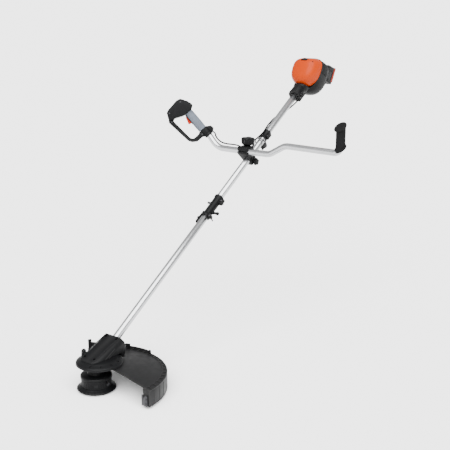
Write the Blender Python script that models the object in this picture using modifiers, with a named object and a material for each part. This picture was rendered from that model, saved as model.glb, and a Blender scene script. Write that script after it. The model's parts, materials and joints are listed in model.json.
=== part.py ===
"""Battery brush cutter with a bicycle handlebar, in its working pose.

Metres, +Z up.  The cutting spindle stands on +Z, the shaft climbs towards +Y (motor end) and +X is the
operator's left.  The origin is the centre of the trimmer head's ground pad.
Four local frames carry the parts: the head (at the crossing of spindle and shaft), the shaft (local y runs
up the tube), the motor housing and the throttle handle.
"""
from math import atan2, cos, pi, radians, sin, sqrt

import bmesh
import bpy
from mathutils import Matrix, Vector

MM = 0.001
GAP = 0.3 * MM                      # clearance between neighbouring solids

# ---- driving dimensions -------------------------------------------------------------------------------
SHAFT_ANGLE = radians(33.4)         # shaft above the cutting plane
APEX_Z = 84 * MM                    # spindle and shaft axes cross here
TUBE_R, TUBE_WALL = 13 * MM, 1.5 * MM
TUBE_BORE = TUBE_R + GAP            # bore of everything clamped round the tube
LOWER_TUBE = (38 * MM, 757 * MM)    # stations along the shaft, from the apex
UPPER_TUBE = (761 * MM, 1462 * MM)
COUPLER = (698 * MM, 803 * MM)
CLAMP_AT = 1020 * MM                # handlebar clamp
BAR_ABOVE = 40 * MM                 # bar axis above the tube axis
HARNESS_AT = 1158 * MM
LOOP_AT = (0, 1120 * MM, -6 * MM)   # centre of the carrying loop, in the shaft's frame
LOOP_R = 25 * MM
COLLAR = (1407 * MM, 1450 * MM)
HOUSING_AT = 1500 * MM              # origin of the motor housing frame
HOUSING_PITCH = radians(-28)        # housing axis below the horizontal
DRIVE_R = 4 * MM

GEAR_TEETH, PINION_TEETH = 20, 14
CONE_DISTANCE, FACE_WIDTH = 28 * MM, 8 * MM

FLANGE_R = 78 * MM
FLANGE_CENTRE = (10 * MM, 8 * MM)   # the flange and the guard reach further to the right and rear
GUARD_R = 212 * MM
GUARD_CENTRE = (30 * MM, 0)
GUARD_FROM, GUARD_TO = radians(-2), radians(149)
GUARD_RIM_Z, GUARD_FOOT_Z = -18 * MM, -76 * MM
TRIMMER_R, TRIMMER_FLANGE_R = 50 * MM, 65.5 * MM

BAR_R = 12 * MM
BAR_BORE = BAR_R + GAP
LEAD_R = 2.9 * MM
BAR_CORNERS = [(-132, 0), (115, 0), (185, 40), (420, 38)]     # x, z from the clamp, in millimetres
BAR_FILLETS = [68, 60, 60, 24]
BAR_LEFT_END = (-175, 46)
BAR_RIGHT_TOP = 112
GRIP_R = 17.6 * MM
POWER_AT, POWER_TURN = (-18.5 * MM, 0, 156 * MM), (0, radians(-64), 0)     # in the throttle's frame
LOCK_OFF_AT = (30 * MM, 0, 148 * MM)
CAP_TILT = (radians(37), radians(-14.5), 0)    # the left grip's end is cut off at a slant

COLOURS = {
    "aluminium": ((0.72, 0.73, 0.74), 0.32, 1.0),
    "black_plastic": ((0.025, 0.026, 0.028), 0.5, 0.0),
    "guard_plastic": ((0.07, 0.07, 0.072), 0.55, 0.0),
    "orange_plastic": ((1.0, 0.24, 0.02), 0.35, 0.0),
    "trigger_plastic": ((0.85, 0.12, 0.03), 0.4, 0.0),
    "grip_grey": ((0.30, 0.33, 0.36), 0.6, 0.0),
    "rubber": ((0.03, 0.03, 0.03), 0.8, 0.0),
    "steel": ((0.45, 0.45, 0.46), 0.3, 1.0),
    "cast_alloy": ((0.35, 0.36, 0.37), 0.5, 1.0),
    "copper": ((0.72, 0.32, 0.14), 0.35, 1.0),
    "line_nylon": ((0.75, 0.28, 0.05), 0.4, 0.0),
    "board_green": ((0.03, 0.18, 0.07), 0.5, 0.0),
    "band_red": ((0.70, 0.16, 0.13), 0.4, 0.0),
}

PARTS = "brush_cutter"
CUTTERS = "cutters"
UP_SHAFT = (-pi / 2, 0, 0)          # turns a part's own z onto local y
ALONG_X = (0, pi / 2, 0)            # turns a part's own z onto local x
AGAINST_X = (0, -pi / 2, 0)         # turns a part's own z onto local -x


# ---- scene and object helpers -------------------------------------------------------------------------
def start():
    for obj in list(bpy.data.objects):
        bpy.data.objects.remove(obj)
    for name in (PARTS, CUTTERS):
        group = bpy.data.collections.get(name) or bpy.data.collections.new(name)
        if group.name not in bpy.context.scene.collection.children:
            bpy.context.scene.collection.children.link(group)


def material(kind):
    mat = bpy.data.materials.get(kind)
    if mat is None:
        colour, roughness, metallic = COLOURS[kind]
        mat = bpy.data.materials.new(kind)
        mat.use_nodes = True
        shader = mat.node_tree.nodes["Principled BSDF"]
        shader.inputs["Base Color"].default_value = (*colour, 1)
        shader.inputs["Roughness"].default_value = roughness
        shader.inputs["Metallic"].default_value = metallic
    return mat


def put(mesh, name, kind, parent, loc=(0, 0, 0), rot=(0, 0, 0)):
    """Link a mesh as a part (kind is its material) or, with kind None, as a hidden cutter."""
    obj = bpy.data.objects.new(name, mesh)
    obj.parent = parent
    obj.location = loc
    obj.rotation_euler = rot
    if kind is None:
        bpy.data.collections[CUTTERS].objects.link(obj)
        obj.hide_render = True
        obj.display_type = "WIRE"
    else:
        bpy.data.collections[PARTS].objects.link(obj)
        obj.data.materials.append(material(kind))
        for face in obj.data.polygons:
            face.use_smooth = True
        obj.data.set_sharp_from_angle(angle=radians(35))
    return obj


def mesh_from(bm, name):
    mesh = bpy.data.meshes.new(name)
    bmesh.ops.recalc_face_normals(bm, faces=bm.faces)
    bm.to_mesh(mesh)
    bm.free()
    return mesh


def empty(name, parent, loc=(0, 0, 0), rot=(0, 0, 0)):
    obj = bpy.data.objects.new(name, None)
    bpy.data.collections[PARTS].objects.link(obj)
    obj.parent = parent
    obj.location = loc
    obj.rotation_euler = rot
    return obj


def box(name, kind, parent, low, high, bevel=0.0, rot=(0, 0, 0)):
    """A block between two corners in the parent's frame; rot turns it about its centre."""
    low, high = Vector(low), Vector(high)
    bm = bmesh.new()
    bmesh.ops.create_cube(bm, size=1)
    bmesh.ops.scale(bm, vec=high - low, verts=bm.verts)
    obj = put(mesh_from(bm, name), name, kind, parent, (low + high) / 2, rot)
    if bevel:
        soften(obj, bevel)
    return obj


def soften(obj, width, segments=1):
    mod = obj.modifiers.new("edges", "BEVEL")
    mod.width = width
    mod.segments = segments
    mod.limit_method = "ANGLE"
    mod.angle_limit = radians(40)


def rod(name, kind, parent, radius, low, high, rot=(0, 0, 0), loc=(0, 0, 0), sides=24, radius2=None):
    """A solid cylinder or cone from z=low to z=high on its own axis."""
    bm = bmesh.new()
    bmesh.ops.create_cone(bm, cap_ends=True, segments=sides, radius1=radius,
                          radius2=radius if radius2 is None else radius2, depth=high - low)
    bmesh.ops.translate(bm, vec=(0, 0, (low + high) / 2), verts=bm.verts)
    return put(mesh_from(bm, name), name, kind, parent, loc, rot)


def turned(name, kind, parent, profile, rot=(0, 0, 0), loc=(0, 0, 0), sides=24, closed=True):
    """A Screw of a profile of (radius, height), running down its outer side from top to bottom."""
    mesh = bpy.data.meshes.new(name)
    count = len(profile)
    edges = [(i, (i + 1) % count) for i in range(count if closed else count - 1)]
    mesh.from_pydata([(r, 0, z) for r, z in profile], edges, [])
    obj = put(mesh, name, kind, parent, loc, rot)
    mod = obj.modifiers.new("turn", "SCREW")
    mod.axis = "Z"
    mod.steps = mod.render_steps = sides
    mod.use_merge_vertices = True
    mod.merge_threshold = 0.00005
    mod.use_smooth_shade = True
    return obj


def ring(name, kind, parent, inner, outer, low, high, rot=(0, 0, 0), loc=(0, 0, 0), sides=24):
    return turned(name, kind, parent, [(outer, high), (outer, low), (inner, low), (inner, high)],
                  rot, loc, sides)


def hull(name, kind, parent, points, loc=(0, 0, 0), rot=(0, 0, 0)):
    """The convex block round a set of points in the parent's frame."""
    bm = bmesh.new()
    for point in points:
        bm.verts.new(point)
    out = bmesh.ops.convex_hull(bm, input=bm.verts)
    bmesh.ops.delete(bm, geom=[v for v in bm.verts if not v.link_faces], context="VERTS")
    bmesh.ops.dissolve_limit(bm, angle_limit=radians(1), verts=bm.verts, edges=bm.edges)
    return put(mesh_from(bm, name), name, kind, parent, loc, rot)


def as_mesh(curve_obj, name, kind, parent, loc, rot):
    """Turn a curve object into a welded mesh object in the same place."""
    bpy.context.view_layer.update()
    graph = bpy.context.evaluated_depsgraph_get()
    mesh = bpy.data.meshes.new_from_object(curve_obj.evaluated_get(graph))
    bpy.data.objects.remove(curve_obj)
    bm = bmesh.new()
    bm.from_mesh(mesh)
    bmesh.ops.remove_doubles(bm, verts=bm.verts, dist=1e-6)
    mesh.materials.clear()
    bmesh.ops.recalc_face_normals(bm, faces=bm.faces)
    bm.to_mesh(mesh)
    bm.free()
    return put(mesh, name, kind, parent, loc, rot)


def plate(name, kind, parent, outline, low, high, loc=(0, 0, 0), rot=(0, 0, 0)):
    """A flat outline of (x, y) points, between z=low and z=high of its own frame."""
    curve = bpy.data.curves.new(name, "CURVE")
    curve.dimensions = "2D"
    curve.fill_mode = "BOTH"
    curve.extrude = (high - low) / 2
    spline = curve.splines.new("POLY")
    spline.points.add(len(outline) - 1)
    for point, (x, y) in zip(spline.points, outline):
        point.co = (x, y, 0, 1)
    spline.use_cyclic_u = True
    holder = bpy.data.objects.new(name + "_outline", curve)
    bpy.data.collections[CUTTERS].objects.link(holder)
    obj = as_mesh(holder, name, kind, parent, loc, rot)
    obj.data.transform(Matrix.Translation((0, 0, (low + high) / 2)))
    return obj


def pipe(name, kind, parent, path, radius, resolution=2, loc=(0, 0, 0), rot=(0, 0, 0)):
    """A round bar along a list of points."""
    curve = bpy.data.curves.new(name, "CURVE")
    curve.dimensions = "3D"
    curve.bevel_depth = radius
    curve.bevel_resolution = resolution
    curve.use_fill_caps = True
    spline = curve.splines.new("POLY")
    spline.points.add(len(path) - 1)
    for point, co in zip(spline.points, path):
        point.co = (*co, 1)
    holder = bpy.data.objects.new(name + "_line", curve)
    bpy.data.collections[CUTTERS].objects.link(holder)
    return as_mesh(holder, name, kind, parent, loc, rot)


def boolean(obj, tool, how):
    mod = obj.modifiers.new(how.lower() + "_" + tool.name, "BOOLEAN")
    mod.operation = how
    mod.solver = "EXACT"
    mod.object = tool


def cut(obj, *tools):
    for tool in tools:
        boolean(obj, tool, "DIFFERENCE")
    return obj


def join(obj, *tools):
    for tool in tools:
        boolean(obj, tool, "UNION")
    return obj


def fillet_path(corners, radii, start_point, end_point, step=radians(14)):
    """Straight runs through the corners, with an arc of the given radius at each one."""
    points = [Vector(start_point)]
    for index, (corner, radius) in enumerate(zip(corners, radii)):
        corner = Vector(corner)
        before = (Vector(corners[index - 1] if index else start_point) - corner).normalized()
        after = (Vector(corners[index + 1] if index + 1 < len(corners) else end_point) - corner).normalized()
        turn = pi - before.angle(after)
        reach = radius * sin(turn / 2) / cos(turn / 2)
        first, last = corner + before * reach, corner + after * reach
        middle = corner + (before + after).normalized() * (radius / cos(turn / 2))
        count = max(2, int(turn / step) + 1)
        for k in range(count + 1):
            share = k / count
            spoke = (first - middle).slerp(last - middle, share)
            points.append(middle + spoke * radius)
    points.append(Vector(end_point))
    return points


def smooth_path(knots, per_span):
    """Points of a Catmull-Rom curve through the knots."""
    knots = [Vector(k) for k in knots]
    ends = [2 * knots[0] - knots[1], *knots, 2 * knots[-1] - knots[-2]]
    points = []
    for a, b, c, d in zip(ends, ends[1:], ends[2:], ends[3:]):
        for k in range(per_span):
            t = k / per_span
            points.append(0.5 * (2 * b + (c - a) * t + (2 * a - 5 * b + 4 * c - d) * t ** 2
                                 + (3 * b - a - 3 * c + d) * t ** 3))
    points.append(knots[-1])
    return points


def shaft_to_world(x, y, z):
    return Vector((x, y * cos(SHAFT_ANGLE) - z * sin(SHAFT_ANGLE),
                   APEX_Z + y * sin(SHAFT_ANGLE) + z * cos(SHAFT_ANGLE)))


# ---- gear head ----------------------------------------------------------------------------------------
def cone_angles():
    shaft_to_spindle = pi / 2 - SHAFT_ANGLE
    gear = atan2(sin(shaft_to_spindle), PINION_TEETH / GEAR_TEETH + cos(shaft_to_spindle))
    return gear, shaft_to_spindle - gear


def bevel_wheel(name, parent, teeth, cone, bore, hub_to, phase, rot=(0, 0, 0)):
    """A straight bevel gear: a toothed outline tapered towards the cone's tip at the frame's origin."""
    large_z = CONE_DISTANCE * cos(cone)
    small_z = (CONE_DISTANCE - FACE_WIDTH) * cos(cone)
    pitch_r = CONE_DISTANCE * sin(cone)
    tip_r, root_r = pitch_r + 0.75 * MM, pitch_r - 1.25 * MM
    outline = []
    for tooth in range(teeth):
        for radius, offset in ((root_r, -0.27), (tip_r, -0.12), (tip_r, 0.12), (root_r, 0.27)):
            angle = phase + 2 * pi * (tooth + offset) / teeth
            outline.append((radius * cos(angle), radius * sin(angle)))
    gear = plate(name, "steel", parent, outline, small_z, large_z, rot=rot)
    for vertex in gear.data.vertices:
        if vertex.co.z < (small_z + large_z) / 2:
            vertex.co.x *= small_z / large_z
            vertex.co.y *= small_z / large_z
    hub = rod(name + "_hub", None, parent, root_r * 0.62, large_z - 1 * MM, hub_to, rot, sides=20)
    hole = rod(name + "_bore", None, parent, bore, 0, 60 * MM, rot, sides=20)
    join(gear, hub)
    cut(gear, hole)
    return gear


def gear_case(head, shaft):
    case = rod("gear_case", "cast_alloy", head, 25 * MM, -6 * MM, 30 * MM)
    socket = rod("case_socket", None, shaft, 17.5 * MM, 16 * MM, 76 * MM, UP_SHAFT)
    join(case, socket)
    cut(case, rod("case_room", None, head, 20 * MM, 3.5 * MM, 27.5 * MM),
        rod("case_bearing_seat", None, head, 11 * MM + GAP, -8 * MM, 5 * MM),
        rod("case_pinion_room", None, shaft, 13 * MM, 8 * MM, 27.7 * MM, UP_SHAFT),
        rod("case_pinion_seat", None, shaft, 11 * MM + GAP, 26 * MM, 37 * MM, UP_SHAFT),
        rod("case_tube_seat", None, shaft, TUBE_BORE, 36.6 * MM, 80 * MM, UP_SHAFT))
    return case


def wedge_points():
    """Corner points of the sloping cover, in the head's frame."""
    slope = SHAFT_ANGLE
    points = [(side * x, y, z) for side in (-1, 1) for x, y, z in (
        (22 * MM, -47 * MM, 27.5 * MM), (28 * MM, -45 * MM, 26.6 * MM), (38 * MM, -28 * MM, 26.6 * MM),
        (45 * MM, 2 * MM, 26.6 * MM), (44 * MM, 32 * MM, 26.6 * MM), (34 * MM, 60 * MM, 26.6 * MM))]
    for x, z in ((32 * MM, 16.5 * MM), (40 * MM, -4 * MM), (33 * MM, -28 * MM)):
        y_end = 115 * MM * cos(slope) - z * sin(slope)
        z_end = 115 * MM * sin(slope) + z * cos(slope)
        points += [(side * x, y_end, z_end) for side in (-1, 1)]
    return [*points, (-36 * MM, 100 * MM, 4 * MM), (36 * MM, 100 * MM, 4 * MM)]


def head_covers(head, shaft):
    for name, side in (("head_cover_right", -1), ("head_cover_left", 1)):
        cover = hull(name, "black_plastic", head, wedge_points())
        low_x, high_x = sorted((side * -150 * MM, side * GAP / 2))
        cut(cover, box(name + "_half", None, head, (low_x, -100 * MM, -5 * MM),
                       (high_x, 160 * MM, 150 * MM)),
            rod(name + "_case_room", None, head, 25 * MM + 2 * GAP, -9 * MM, 30 * MM + 2 * GAP),
            rod(name + "_flange_room", None, head, FLANGE_R + 2 * GAP, -9 * MM, 26.5 * MM,
                loc=(*FLANGE_CENTRE, 0), sides=32),
            rod(name + "_socket_room", None, shaft, 17.5 * MM + 2 * GAP, 5 * MM, 76.6 * MM, UP_SHAFT),
            rod(name + "_tube_room", None, shaft, TUBE_R + 2 * GAP, 40 * MM, 160 * MM, UP_SHAFT),
            rod(name + "_screw_recess", None, shaft, 4.5 * MM, 6 * MM, 60 * MM,
                loc=(side * 24 * MM, 103 * MM, 0), sides=12))


def guard_flange(head, shaft):
    flange = turned("guard_flange", "black_plastic", head, [
        (56 * MM, 26.2 * MM), (60 * MM, 24 * MM), (74 * MM, 18.5 * MM), (FLANGE_R, 15 * MM),
        (FLANGE_R, 9 * MM), (75.5 * MM, 9 * MM), (73 * MM, 13 * MM), (10 * MM, 13 * MM),
        (10 * MM, 26.2 * MM)], loc=(*FLANGE_CENTRE, 0), sides=32)
    return cut(flange, rod("flange_case_room", None, head, 26 * MM, 5 * MM, 35 * MM),
               rod("flange_socket_room", None, shaft, 18.2 * MM, 2 * MM, 90 * MM, UP_SHAFT))


def guard(head, shaft):
    """A thin sheet that drops to a deep skirt round its rim, made by a part turn of an open line."""
    profile = [(5 * MM, 8 * MM), (45 * MM, 8 * MM), (GUARD_R, GUARD_RIM_Z), (GUARD_R, GUARD_FOOT_Z)]
    mesh = bpy.data.meshes.new("guard")
    mesh.from_pydata([(r, 0, z) for r, z in profile], [(0, 1), (1, 2), (2, 3)], [])
    obj = put(mesh, "guard", "guard_plastic", head, (*GUARD_CENTRE, 0), (0, 0, GUARD_FROM))
    turn = obj.modifiers.new("turn", "SCREW")
    turn.axis = "Z"
    turn.angle = GUARD_TO - GUARD_FROM
    turn.steps = turn.render_steps = 18
    turn.merge_threshold = 0.00005
    turn.use_smooth_shade = True
    wall = obj.modifiers.new("wall", "SOLIDIFY")
    wall.thickness = 3 * MM
    wall.offset = -1
    wall.use_even_offset = True
    return cut(obj, rod("guard_case_room", None, head, 36 * MM, -30 * MM, 30 * MM),
               rod("guard_socket_room", None, shaft, 18.2 * MM, 2 * MM, 80 * MM, UP_SHAFT))


def line_cutter(head):
    """A steel blade on the front end of the guard's skirt that trims the nylon line to length."""
    across = GUARD_FROM - radians(1.0)
    radial = Vector((cos(across), sin(across), 0))
    centre = Vector((*GUARD_CENTRE, 0))
    forward = Vector((sin(across), -cos(across), 0)) * 2.2 * MM
    points = []
    for z in (-75 * MM, -38 * MM):
        for reach in (GUARD_R - 29 * MM, GUARD_R - 4 * MM):
            spot = centre + radial * reach
            points += [(*(spot + forward * k).xy, z) for k in (0.0, 1.0)]
    return hull("line_cutter", "steel", head, points)


def head_drive(head, shaft):
    gear_cone, pinion_cone = cone_angles()
    bevel_wheel("bevel_gear", head, GEAR_TEETH, gear_cone, 5 * MM + GAP, 26 * MM, pi / 2)
    bevel_wheel("pinion_gear", shaft, PINION_TEETH, pinion_cone, DRIVE_R + GAP, 27.4 * MM,
                -pi / 2 + pi / PINION_TEETH, UP_SHAFT)
    rod("spindle", "steel", head, 5 * MM, -52 * MM, 26.8 * MM, sides=20)
    ring("spindle_bearing", "steel", head, 5 * MM + GAP, 11 * MM, -4 * MM, 3 * MM)
    ring("pinion_bearing", "steel", shaft, DRIVE_R + GAP, 11 * MM, 28.5 * MM, 35.5 * MM, UP_SHAFT)


def trimmer(head):
    """Bump-feed line head: housing, base, spool, wound line, eyelets, bump knob and its spring."""
    top = turned("trimmer_housing", "black_plastic", head, [
        (14 * MM, -8 * MM), (27 * MM, -11 * MM), (29 * MM, -24 * MM), (49 * MM, -28 * MM),
        (52.6 * MM, -33 * MM), (52.6 * MM, -39 * MM), (TRIMMER_R, -41 * MM), (TRIMMER_R, -66 * MM),
        (47 * MM, -66 * MM), (47 * MM, -37 * MM), (8 * MM, -35 * MM), (8 * MM, -24 * MM),
        (5 * MM + GAP, -24 * MM), (5 * MM + GAP, -8 * MM)], sides=28)
    turned("trimmer_base", "black_plastic", head, [
        (51 * MM, -66.4 * MM), (58 * MM, -71 * MM), (TRIMMER_FLANGE_R, -75 * MM),
        (TRIMMER_FLANGE_R, -79 * MM), (60 * MM, -79 * MM), (40 * MM, -81.5 * MM), (20 * MM, -81.5 * MM),
        (20 * MM, -78 * MM), (40 * MM, -76 * MM), (44 * MM, -66.4 * MM)], sides=28)
    turned("line_spool", "grip_grey", head, [
        (44 * MM, -40 * MM), (44 * MM, -42.5 * MM), (23 * MM, -42.5 * MM), (23 * MM, -61 * MM),
        (41 * MM, -61 * MM), (41 * MM, -63.5 * MM), (7 * MM, -63.5 * MM), (7 * MM, -40 * MM)], sides=28)
    ring("wound_line", "line_nylon", head, 23.4 * MM, 39 * MM, -60.6 * MM, -42.9 * MM, sides=28)
    for name, side in (("line_eyelet_a", 1), ("line_eyelet_b", -1)):
        spot = (side * 50 * MM, 0, -52 * MM)
        ring(name, "steel", head, 1.8 * MM, 5 * MM, -4.5 * MM, 4.5 * MM, ALONG_X, spot, sides=12)
        cut(top, rod(name + "_seat", None, head, 5 * MM + GAP, -8 * MM, 8 * MM, ALONG_X, spot, sides=12))
    turned("bump_knob", "black_plastic", head, [
        (0, -59.6 * MM), (6 * MM, -59.6 * MM), (6 * MM, -70 * MM), (19.2 * MM, -70 * MM),
        (19.2 * MM, -81 * MM), (15 * MM, -APEX_Z), (0, -APEX_Z)], sides=28, closed=False)
    turns, wire, coil_r = 3, 0.6 * MM, 4.2 * MM
    low, high = -58.4 * MM, -53 * MM
    steps = 12 * turns
    path = [(coil_r * cos(2 * pi * turns * k / steps), coil_r * sin(2 * pi * turns * k / steps),
             low + (high - low) * k / steps) for k in range(steps + 1)]
    pipe("bump_spring", "steel", head, path, wire, 1)


# ---- shaft --------------------------------------------------------------------------------------------
def tubes_and_drive(shaft):
    for name, (low, high) in (("lower_tube", LOWER_TUBE), ("upper_tube", UPPER_TUBE)):
        ring(name, "aluminium", shaft, TUBE_R - TUBE_WALL, TUBE_R, low, high, UP_SHAFT, sides=28)
    lower = rod("lower_drive_shaft", "steel", shaft, DRIVE_R, 17.8 * MM, 766 * MM, UP_SHAFT, sides=16)
    join(lower, box("lower_shaft_square", None, shaft, (-2.7 * MM, 760 * MM, -2.7 * MM),
                    (2.7 * MM, 778 * MM, 2.7 * MM)))
    socket = rod("drive_socket", "steel", shaft, 8 * MM, 767 * MM, 797 * MM, UP_SHAFT, sides=20)
    cut(socket, box("socket_square", None, shaft, (-3.1 * MM, 760 * MM, -3.1 * MM),
                    (3.1 * MM, 779 * MM, 3.1 * MM)),
        rod("socket_bore", None, shaft, DRIVE_R + GAP, 778 * MM, 800 * MM, UP_SHAFT, sides=16))
    rod("upper_drive_shaft", "steel", shaft, DRIVE_R, 780 * MM, 1582 * MM, UP_SHAFT, sides=16)


def coupler(shaft):
    """Clamp sleeve over the tube joint, with its knob, locking pin, lever and two bolts."""
    low, high = COUPLER
    knob_y, pin_y = low + 26 * MM, low + 70 * MM
    body = turned("coupler_sleeve", "black_plastic", shaft, [
        (18.5 * MM, high), (18.5 * MM, high - 9 * MM), (16 * MM, high - 13 * MM),
        (16 * MM, low + 12 * MM), (18 * MM, low + 9 * MM), (18 * MM, low), (TUBE_BORE, low),
        (TUBE_BORE, high)], UP_SHAFT, sides=20)
    join(body, box("coupler_ridge", None, shaft, (-3 * MM, low + 2 * MM, 14.5 * MM),
                   (3 * MM, high - 2 * MM, 19 * MM)),
         rod("coupler_knob_boss", None, shaft, 6.5 * MM, 14 * MM, 23 * MM, ALONG_X,
             (0, knob_y, 0), sides=16),
         rod("coupler_pin_boss", None, shaft, 5.5 * MM, 14 * MM, 21 * MM, AGAINST_X,
             (0, pin_y, 0), sides=16),
         box("coupler_ear_lower", None, shaft, (13 * MM, low, -8 * MM), (26 * MM, low + 12 * MM, 8 * MM)),
         box("coupler_ear_upper", None, shaft, (13 * MM, low + 72 * MM, -8 * MM),
             (29 * MM, low + 97 * MM, 8 * MM)))
    for name, x, station, foot in (("lower", 21 * MM, low + 6 * MM, -23 * MM),
                                   ("upper", 23.5 * MM, low + 84 * MM, -9 * MM)):
        spot = (x, station, 0)
        cut(body, rod("coupler_bolt_hole_" + name, None, shaft, 2.5 * MM + GAP, -30 * MM, 20 * MM,
                      loc=spot, sides=12))
        turned("coupler_bolt_" + name, "steel", shaft, [
            (0, 13 * MM), (5 * MM, 13 * MM), (5 * MM, 8.4 * MM), (2.5 * MM, 8.4 * MM),
            (2.5 * MM, foot), (0, foot)], loc=spot, sides=12, closed=False)
    cut(body, box("coupler_ear_slot", None, shaft, (12 * MM, low - 5 * MM, -1 * MM),
                  (31 * MM, low + 13 * MM, 1 * MM)),
        rod("coupler_knob_bore", None, shaft, 3 * MM + GAP, 12 * MM, 30 * MM, ALONG_X,
            (0, knob_y, 0), sides=12),
        rod("coupler_pin_bore", None, shaft, 3 * MM + GAP, 12 * MM, 30 * MM, AGAINST_X,
            (0, pin_y, 0), sides=12),
        rod("coupler_clear_bore", None, shaft, TUBE_BORE, low - 5 * MM, high + 5 * MM, UP_SHAFT, sides=20))
    turned("coupler_knob", "black_plastic", shaft, [
        (0, 46 * MM), (5 * MM, 45.4 * MM), (6.3 * MM, 43 * MM), (6.3 * MM, 38 * MM), (4.8 * MM, 35 * MM),
        (4.6 * MM, 23.4 * MM), (3 * MM, 23.4 * MM), (3 * MM, 13.8 * MM), (0, 13.8 * MM)],
        ALONG_X, (0, knob_y, 0), sides=14, closed=False)
    turned("coupler_lock_pin", "steel", shaft, [
        (0, 33 * MM), (4.5 * MM, 32 * MM), (4.5 * MM, 27 * MM), (3 * MM, 26 * MM), (3 * MM, 13.8 * MM),
        (0, 13.8 * MM)], AGAINST_X, (0, pin_y, 0), sides=12, closed=False)
    lever_frame = empty("coupler_lever_frame", shaft, (-20.5 * MM, low + 16 * MM, 0))
    lever = plate("coupler_lever", "black_plastic", lever_frame, [
        (-2 * MM, 8 * MM), (1.8 * MM, 8 * MM), (2 * MM, -14 * MM), (4.5 * MM, -48 * MM), (1 * MM, -52 * MM),
        (-3 * MM, -46 * MM), (-4 * MM, -30 * MM), (-8 * MM, -28 * MM), (-8 * MM, -24 * MM),
        (-3 * MM, -20 * MM)], -6 * MM, 6 * MM)
    cut(lever, rod("lever_pin_hole", None, lever_frame, 2 * MM, -10 * MM, 10 * MM, sides=12))


def harness_clamp(shaft):
    """Clamp with a bolted ear on its side and a lug in front that holds the loop round the tube."""
    low, high = HARNESS_AT - 21 * MM, HARNESS_AT + 21 * MM
    body = ring("harness_clamp", "black_plastic", shaft, TUBE_BORE, 16.5 * MM, low, high, UP_SHAFT)
    x, z = LOOP_AT[0], LOOP_AT[2] - LOOP_R
    join(body, box("harness_lug", None, shaft, (x - 3 * MM, LOOP_AT[1] - 8 * MM, z - 6 * MM),
                   (x + 3 * MM, low + 8 * MM, -14.5 * MM)),
         box("harness_ear", None, shaft, (12 * MM, HARNESS_AT - 14 * MM, -9 * MM),
             (21 * MM, HARNESS_AT + 14 * MM, 9 * MM)))
    cut(body, rod("harness_hole", None, shaft, 3.4 * MM, -10 * MM, 10 * MM, ALONG_X,
                  (x, LOOP_AT[1], z), sides=16),
        rod("harness_clear_bore", None, shaft, TUBE_BORE, low - 50 * MM, high + 5 * MM, UP_SHAFT),
        box("harness_slot", None, shaft, (12.5 * MM, low - 5 * MM, -1 * MM),
            (30 * MM, high + 5 * MM, 1 * MM)))
    hang = empty("harness_ring_frame", shaft, (x, LOOP_AT[1], z))
    minor, around = 2.5 * MM, 8
    profile = [(LOOP_R + minor * cos(2 * pi * k / around), -minor * sin(2 * pi * k / around))
               for k in range(around)]
    turned("harness_ring", "steel", hang, profile, UP_SHAFT, (0, 0, LOOP_R), sides=28)


# ---- handlebar and its clamp --------------------------------------------------------------------------
def bar_clamp(shaft, bar):
    """Lower and upper saddles on the tube, a cap over the bar and two hand knobs."""
    front, rear = CLAMP_AT - 12 * MM, CLAMP_AT + 32 * MM
    half, narrow = 24 * MM, 17 * MM
    tube_bore = rod("clamp_tube_bore", None, shaft, TUBE_BORE, front - 60 * MM, rear + 60 * MM, UP_SHAFT,
                    sides=28)
    bar_bore = rod("clamp_bar_bore", None, bar, BAR_BORE, -60 * MM, 60 * MM, ALONG_X, sides=28)
    feet = [(side * narrow, y, z) for side in (-1, 1) for y in (front, rear) for z in (GAP, 14 * MM)]
    feet = [shaft_to_world(*foot) - bar.location for foot in feet]
    seat = [(side * half, y, z) for side in (-1, 1) for y, z in (
        (-19 * MM, -GAP), (28 * MM, -GAP), (-18 * MM, -7 * MM), (-11 * MM, -15 * MM))]
    base = hull("clamp_base", "black_plastic", bar, [*feet, *seat])
    stud_y = 20 * MM
    cut(base, tube_bore, bar_bore,
        rod("clamp_base_stud_hole", None, bar, 3.5 * MM + GAP, -11 * MM, 10 * MM, loc=(0, stud_y, 0),
            sides=12))
    screw_at = (0, CLAMP_AT + 10 * MM, -20 * MM)
    lower = box("clamp_lower", "black_plastic", shaft, (-narrow, front + 4 * MM, -26 * MM),
                (narrow, rear - 4 * MM, -GAP), 3 * MM)
    cut(lower, tube_bore, rod("clamp_lower_stud_hole", None, shaft, 3 * MM + GAP, -40 * MM, 40 * MM, ALONG_X,
                              screw_at, sides=12))
    cap = box("clamp_cap", "black_plastic", bar, (-half, -19 * MM, GAP), (half, 29 * MM, 19 * MM), 6 * MM)
    cut(cap, bar_bore, rod("clamp_cap_stud_hole", None, bar, 3.5 * MM + GAP, -2 * MM, 30 * MM,
                           loc=(0, stud_y, 0), sides=12))
    turned("clamp_knob", "black_plastic", bar, [
        (0, 51.5 * MM), (22 * MM, 51 * MM), (26 * MM, 47 * MM), (25 * MM, 28 * MM), (20 * MM, 23 * MM),
        (11 * MM, 19.4 * MM), (3.5 * MM, 19.4 * MM), (3.5 * MM, -8 * MM), (0, -8 * MM)],
        loc=(0, stud_y, 0), sides=20, closed=False)
    turned("tube_clamp_knob", "black_plastic", shaft, [
        (0, 32 * MM), (12 * MM, 31 * MM), (15 * MM, 28 * MM), (15 * MM, 22 * MM), (8 * MM, 17.4 * MM),
        (3 * MM, 17.4 * MM), (3 * MM, -14 * MM), (0, -14 * MM)],
        ALONG_X, screw_at, sides=16, closed=False)


def throttle_axes():
    """The throttle handle's frame: z up the grip, x towards the finger guard, y towards the front."""
    up = Vector((-0.587, -0.300, 0.752)).normalized()
    finger = Vector((-0.501, -0.596, -0.628))
    finger = (finger - up * finger.dot(up)).normalized()
    return finger, up.cross(finger), up


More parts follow.
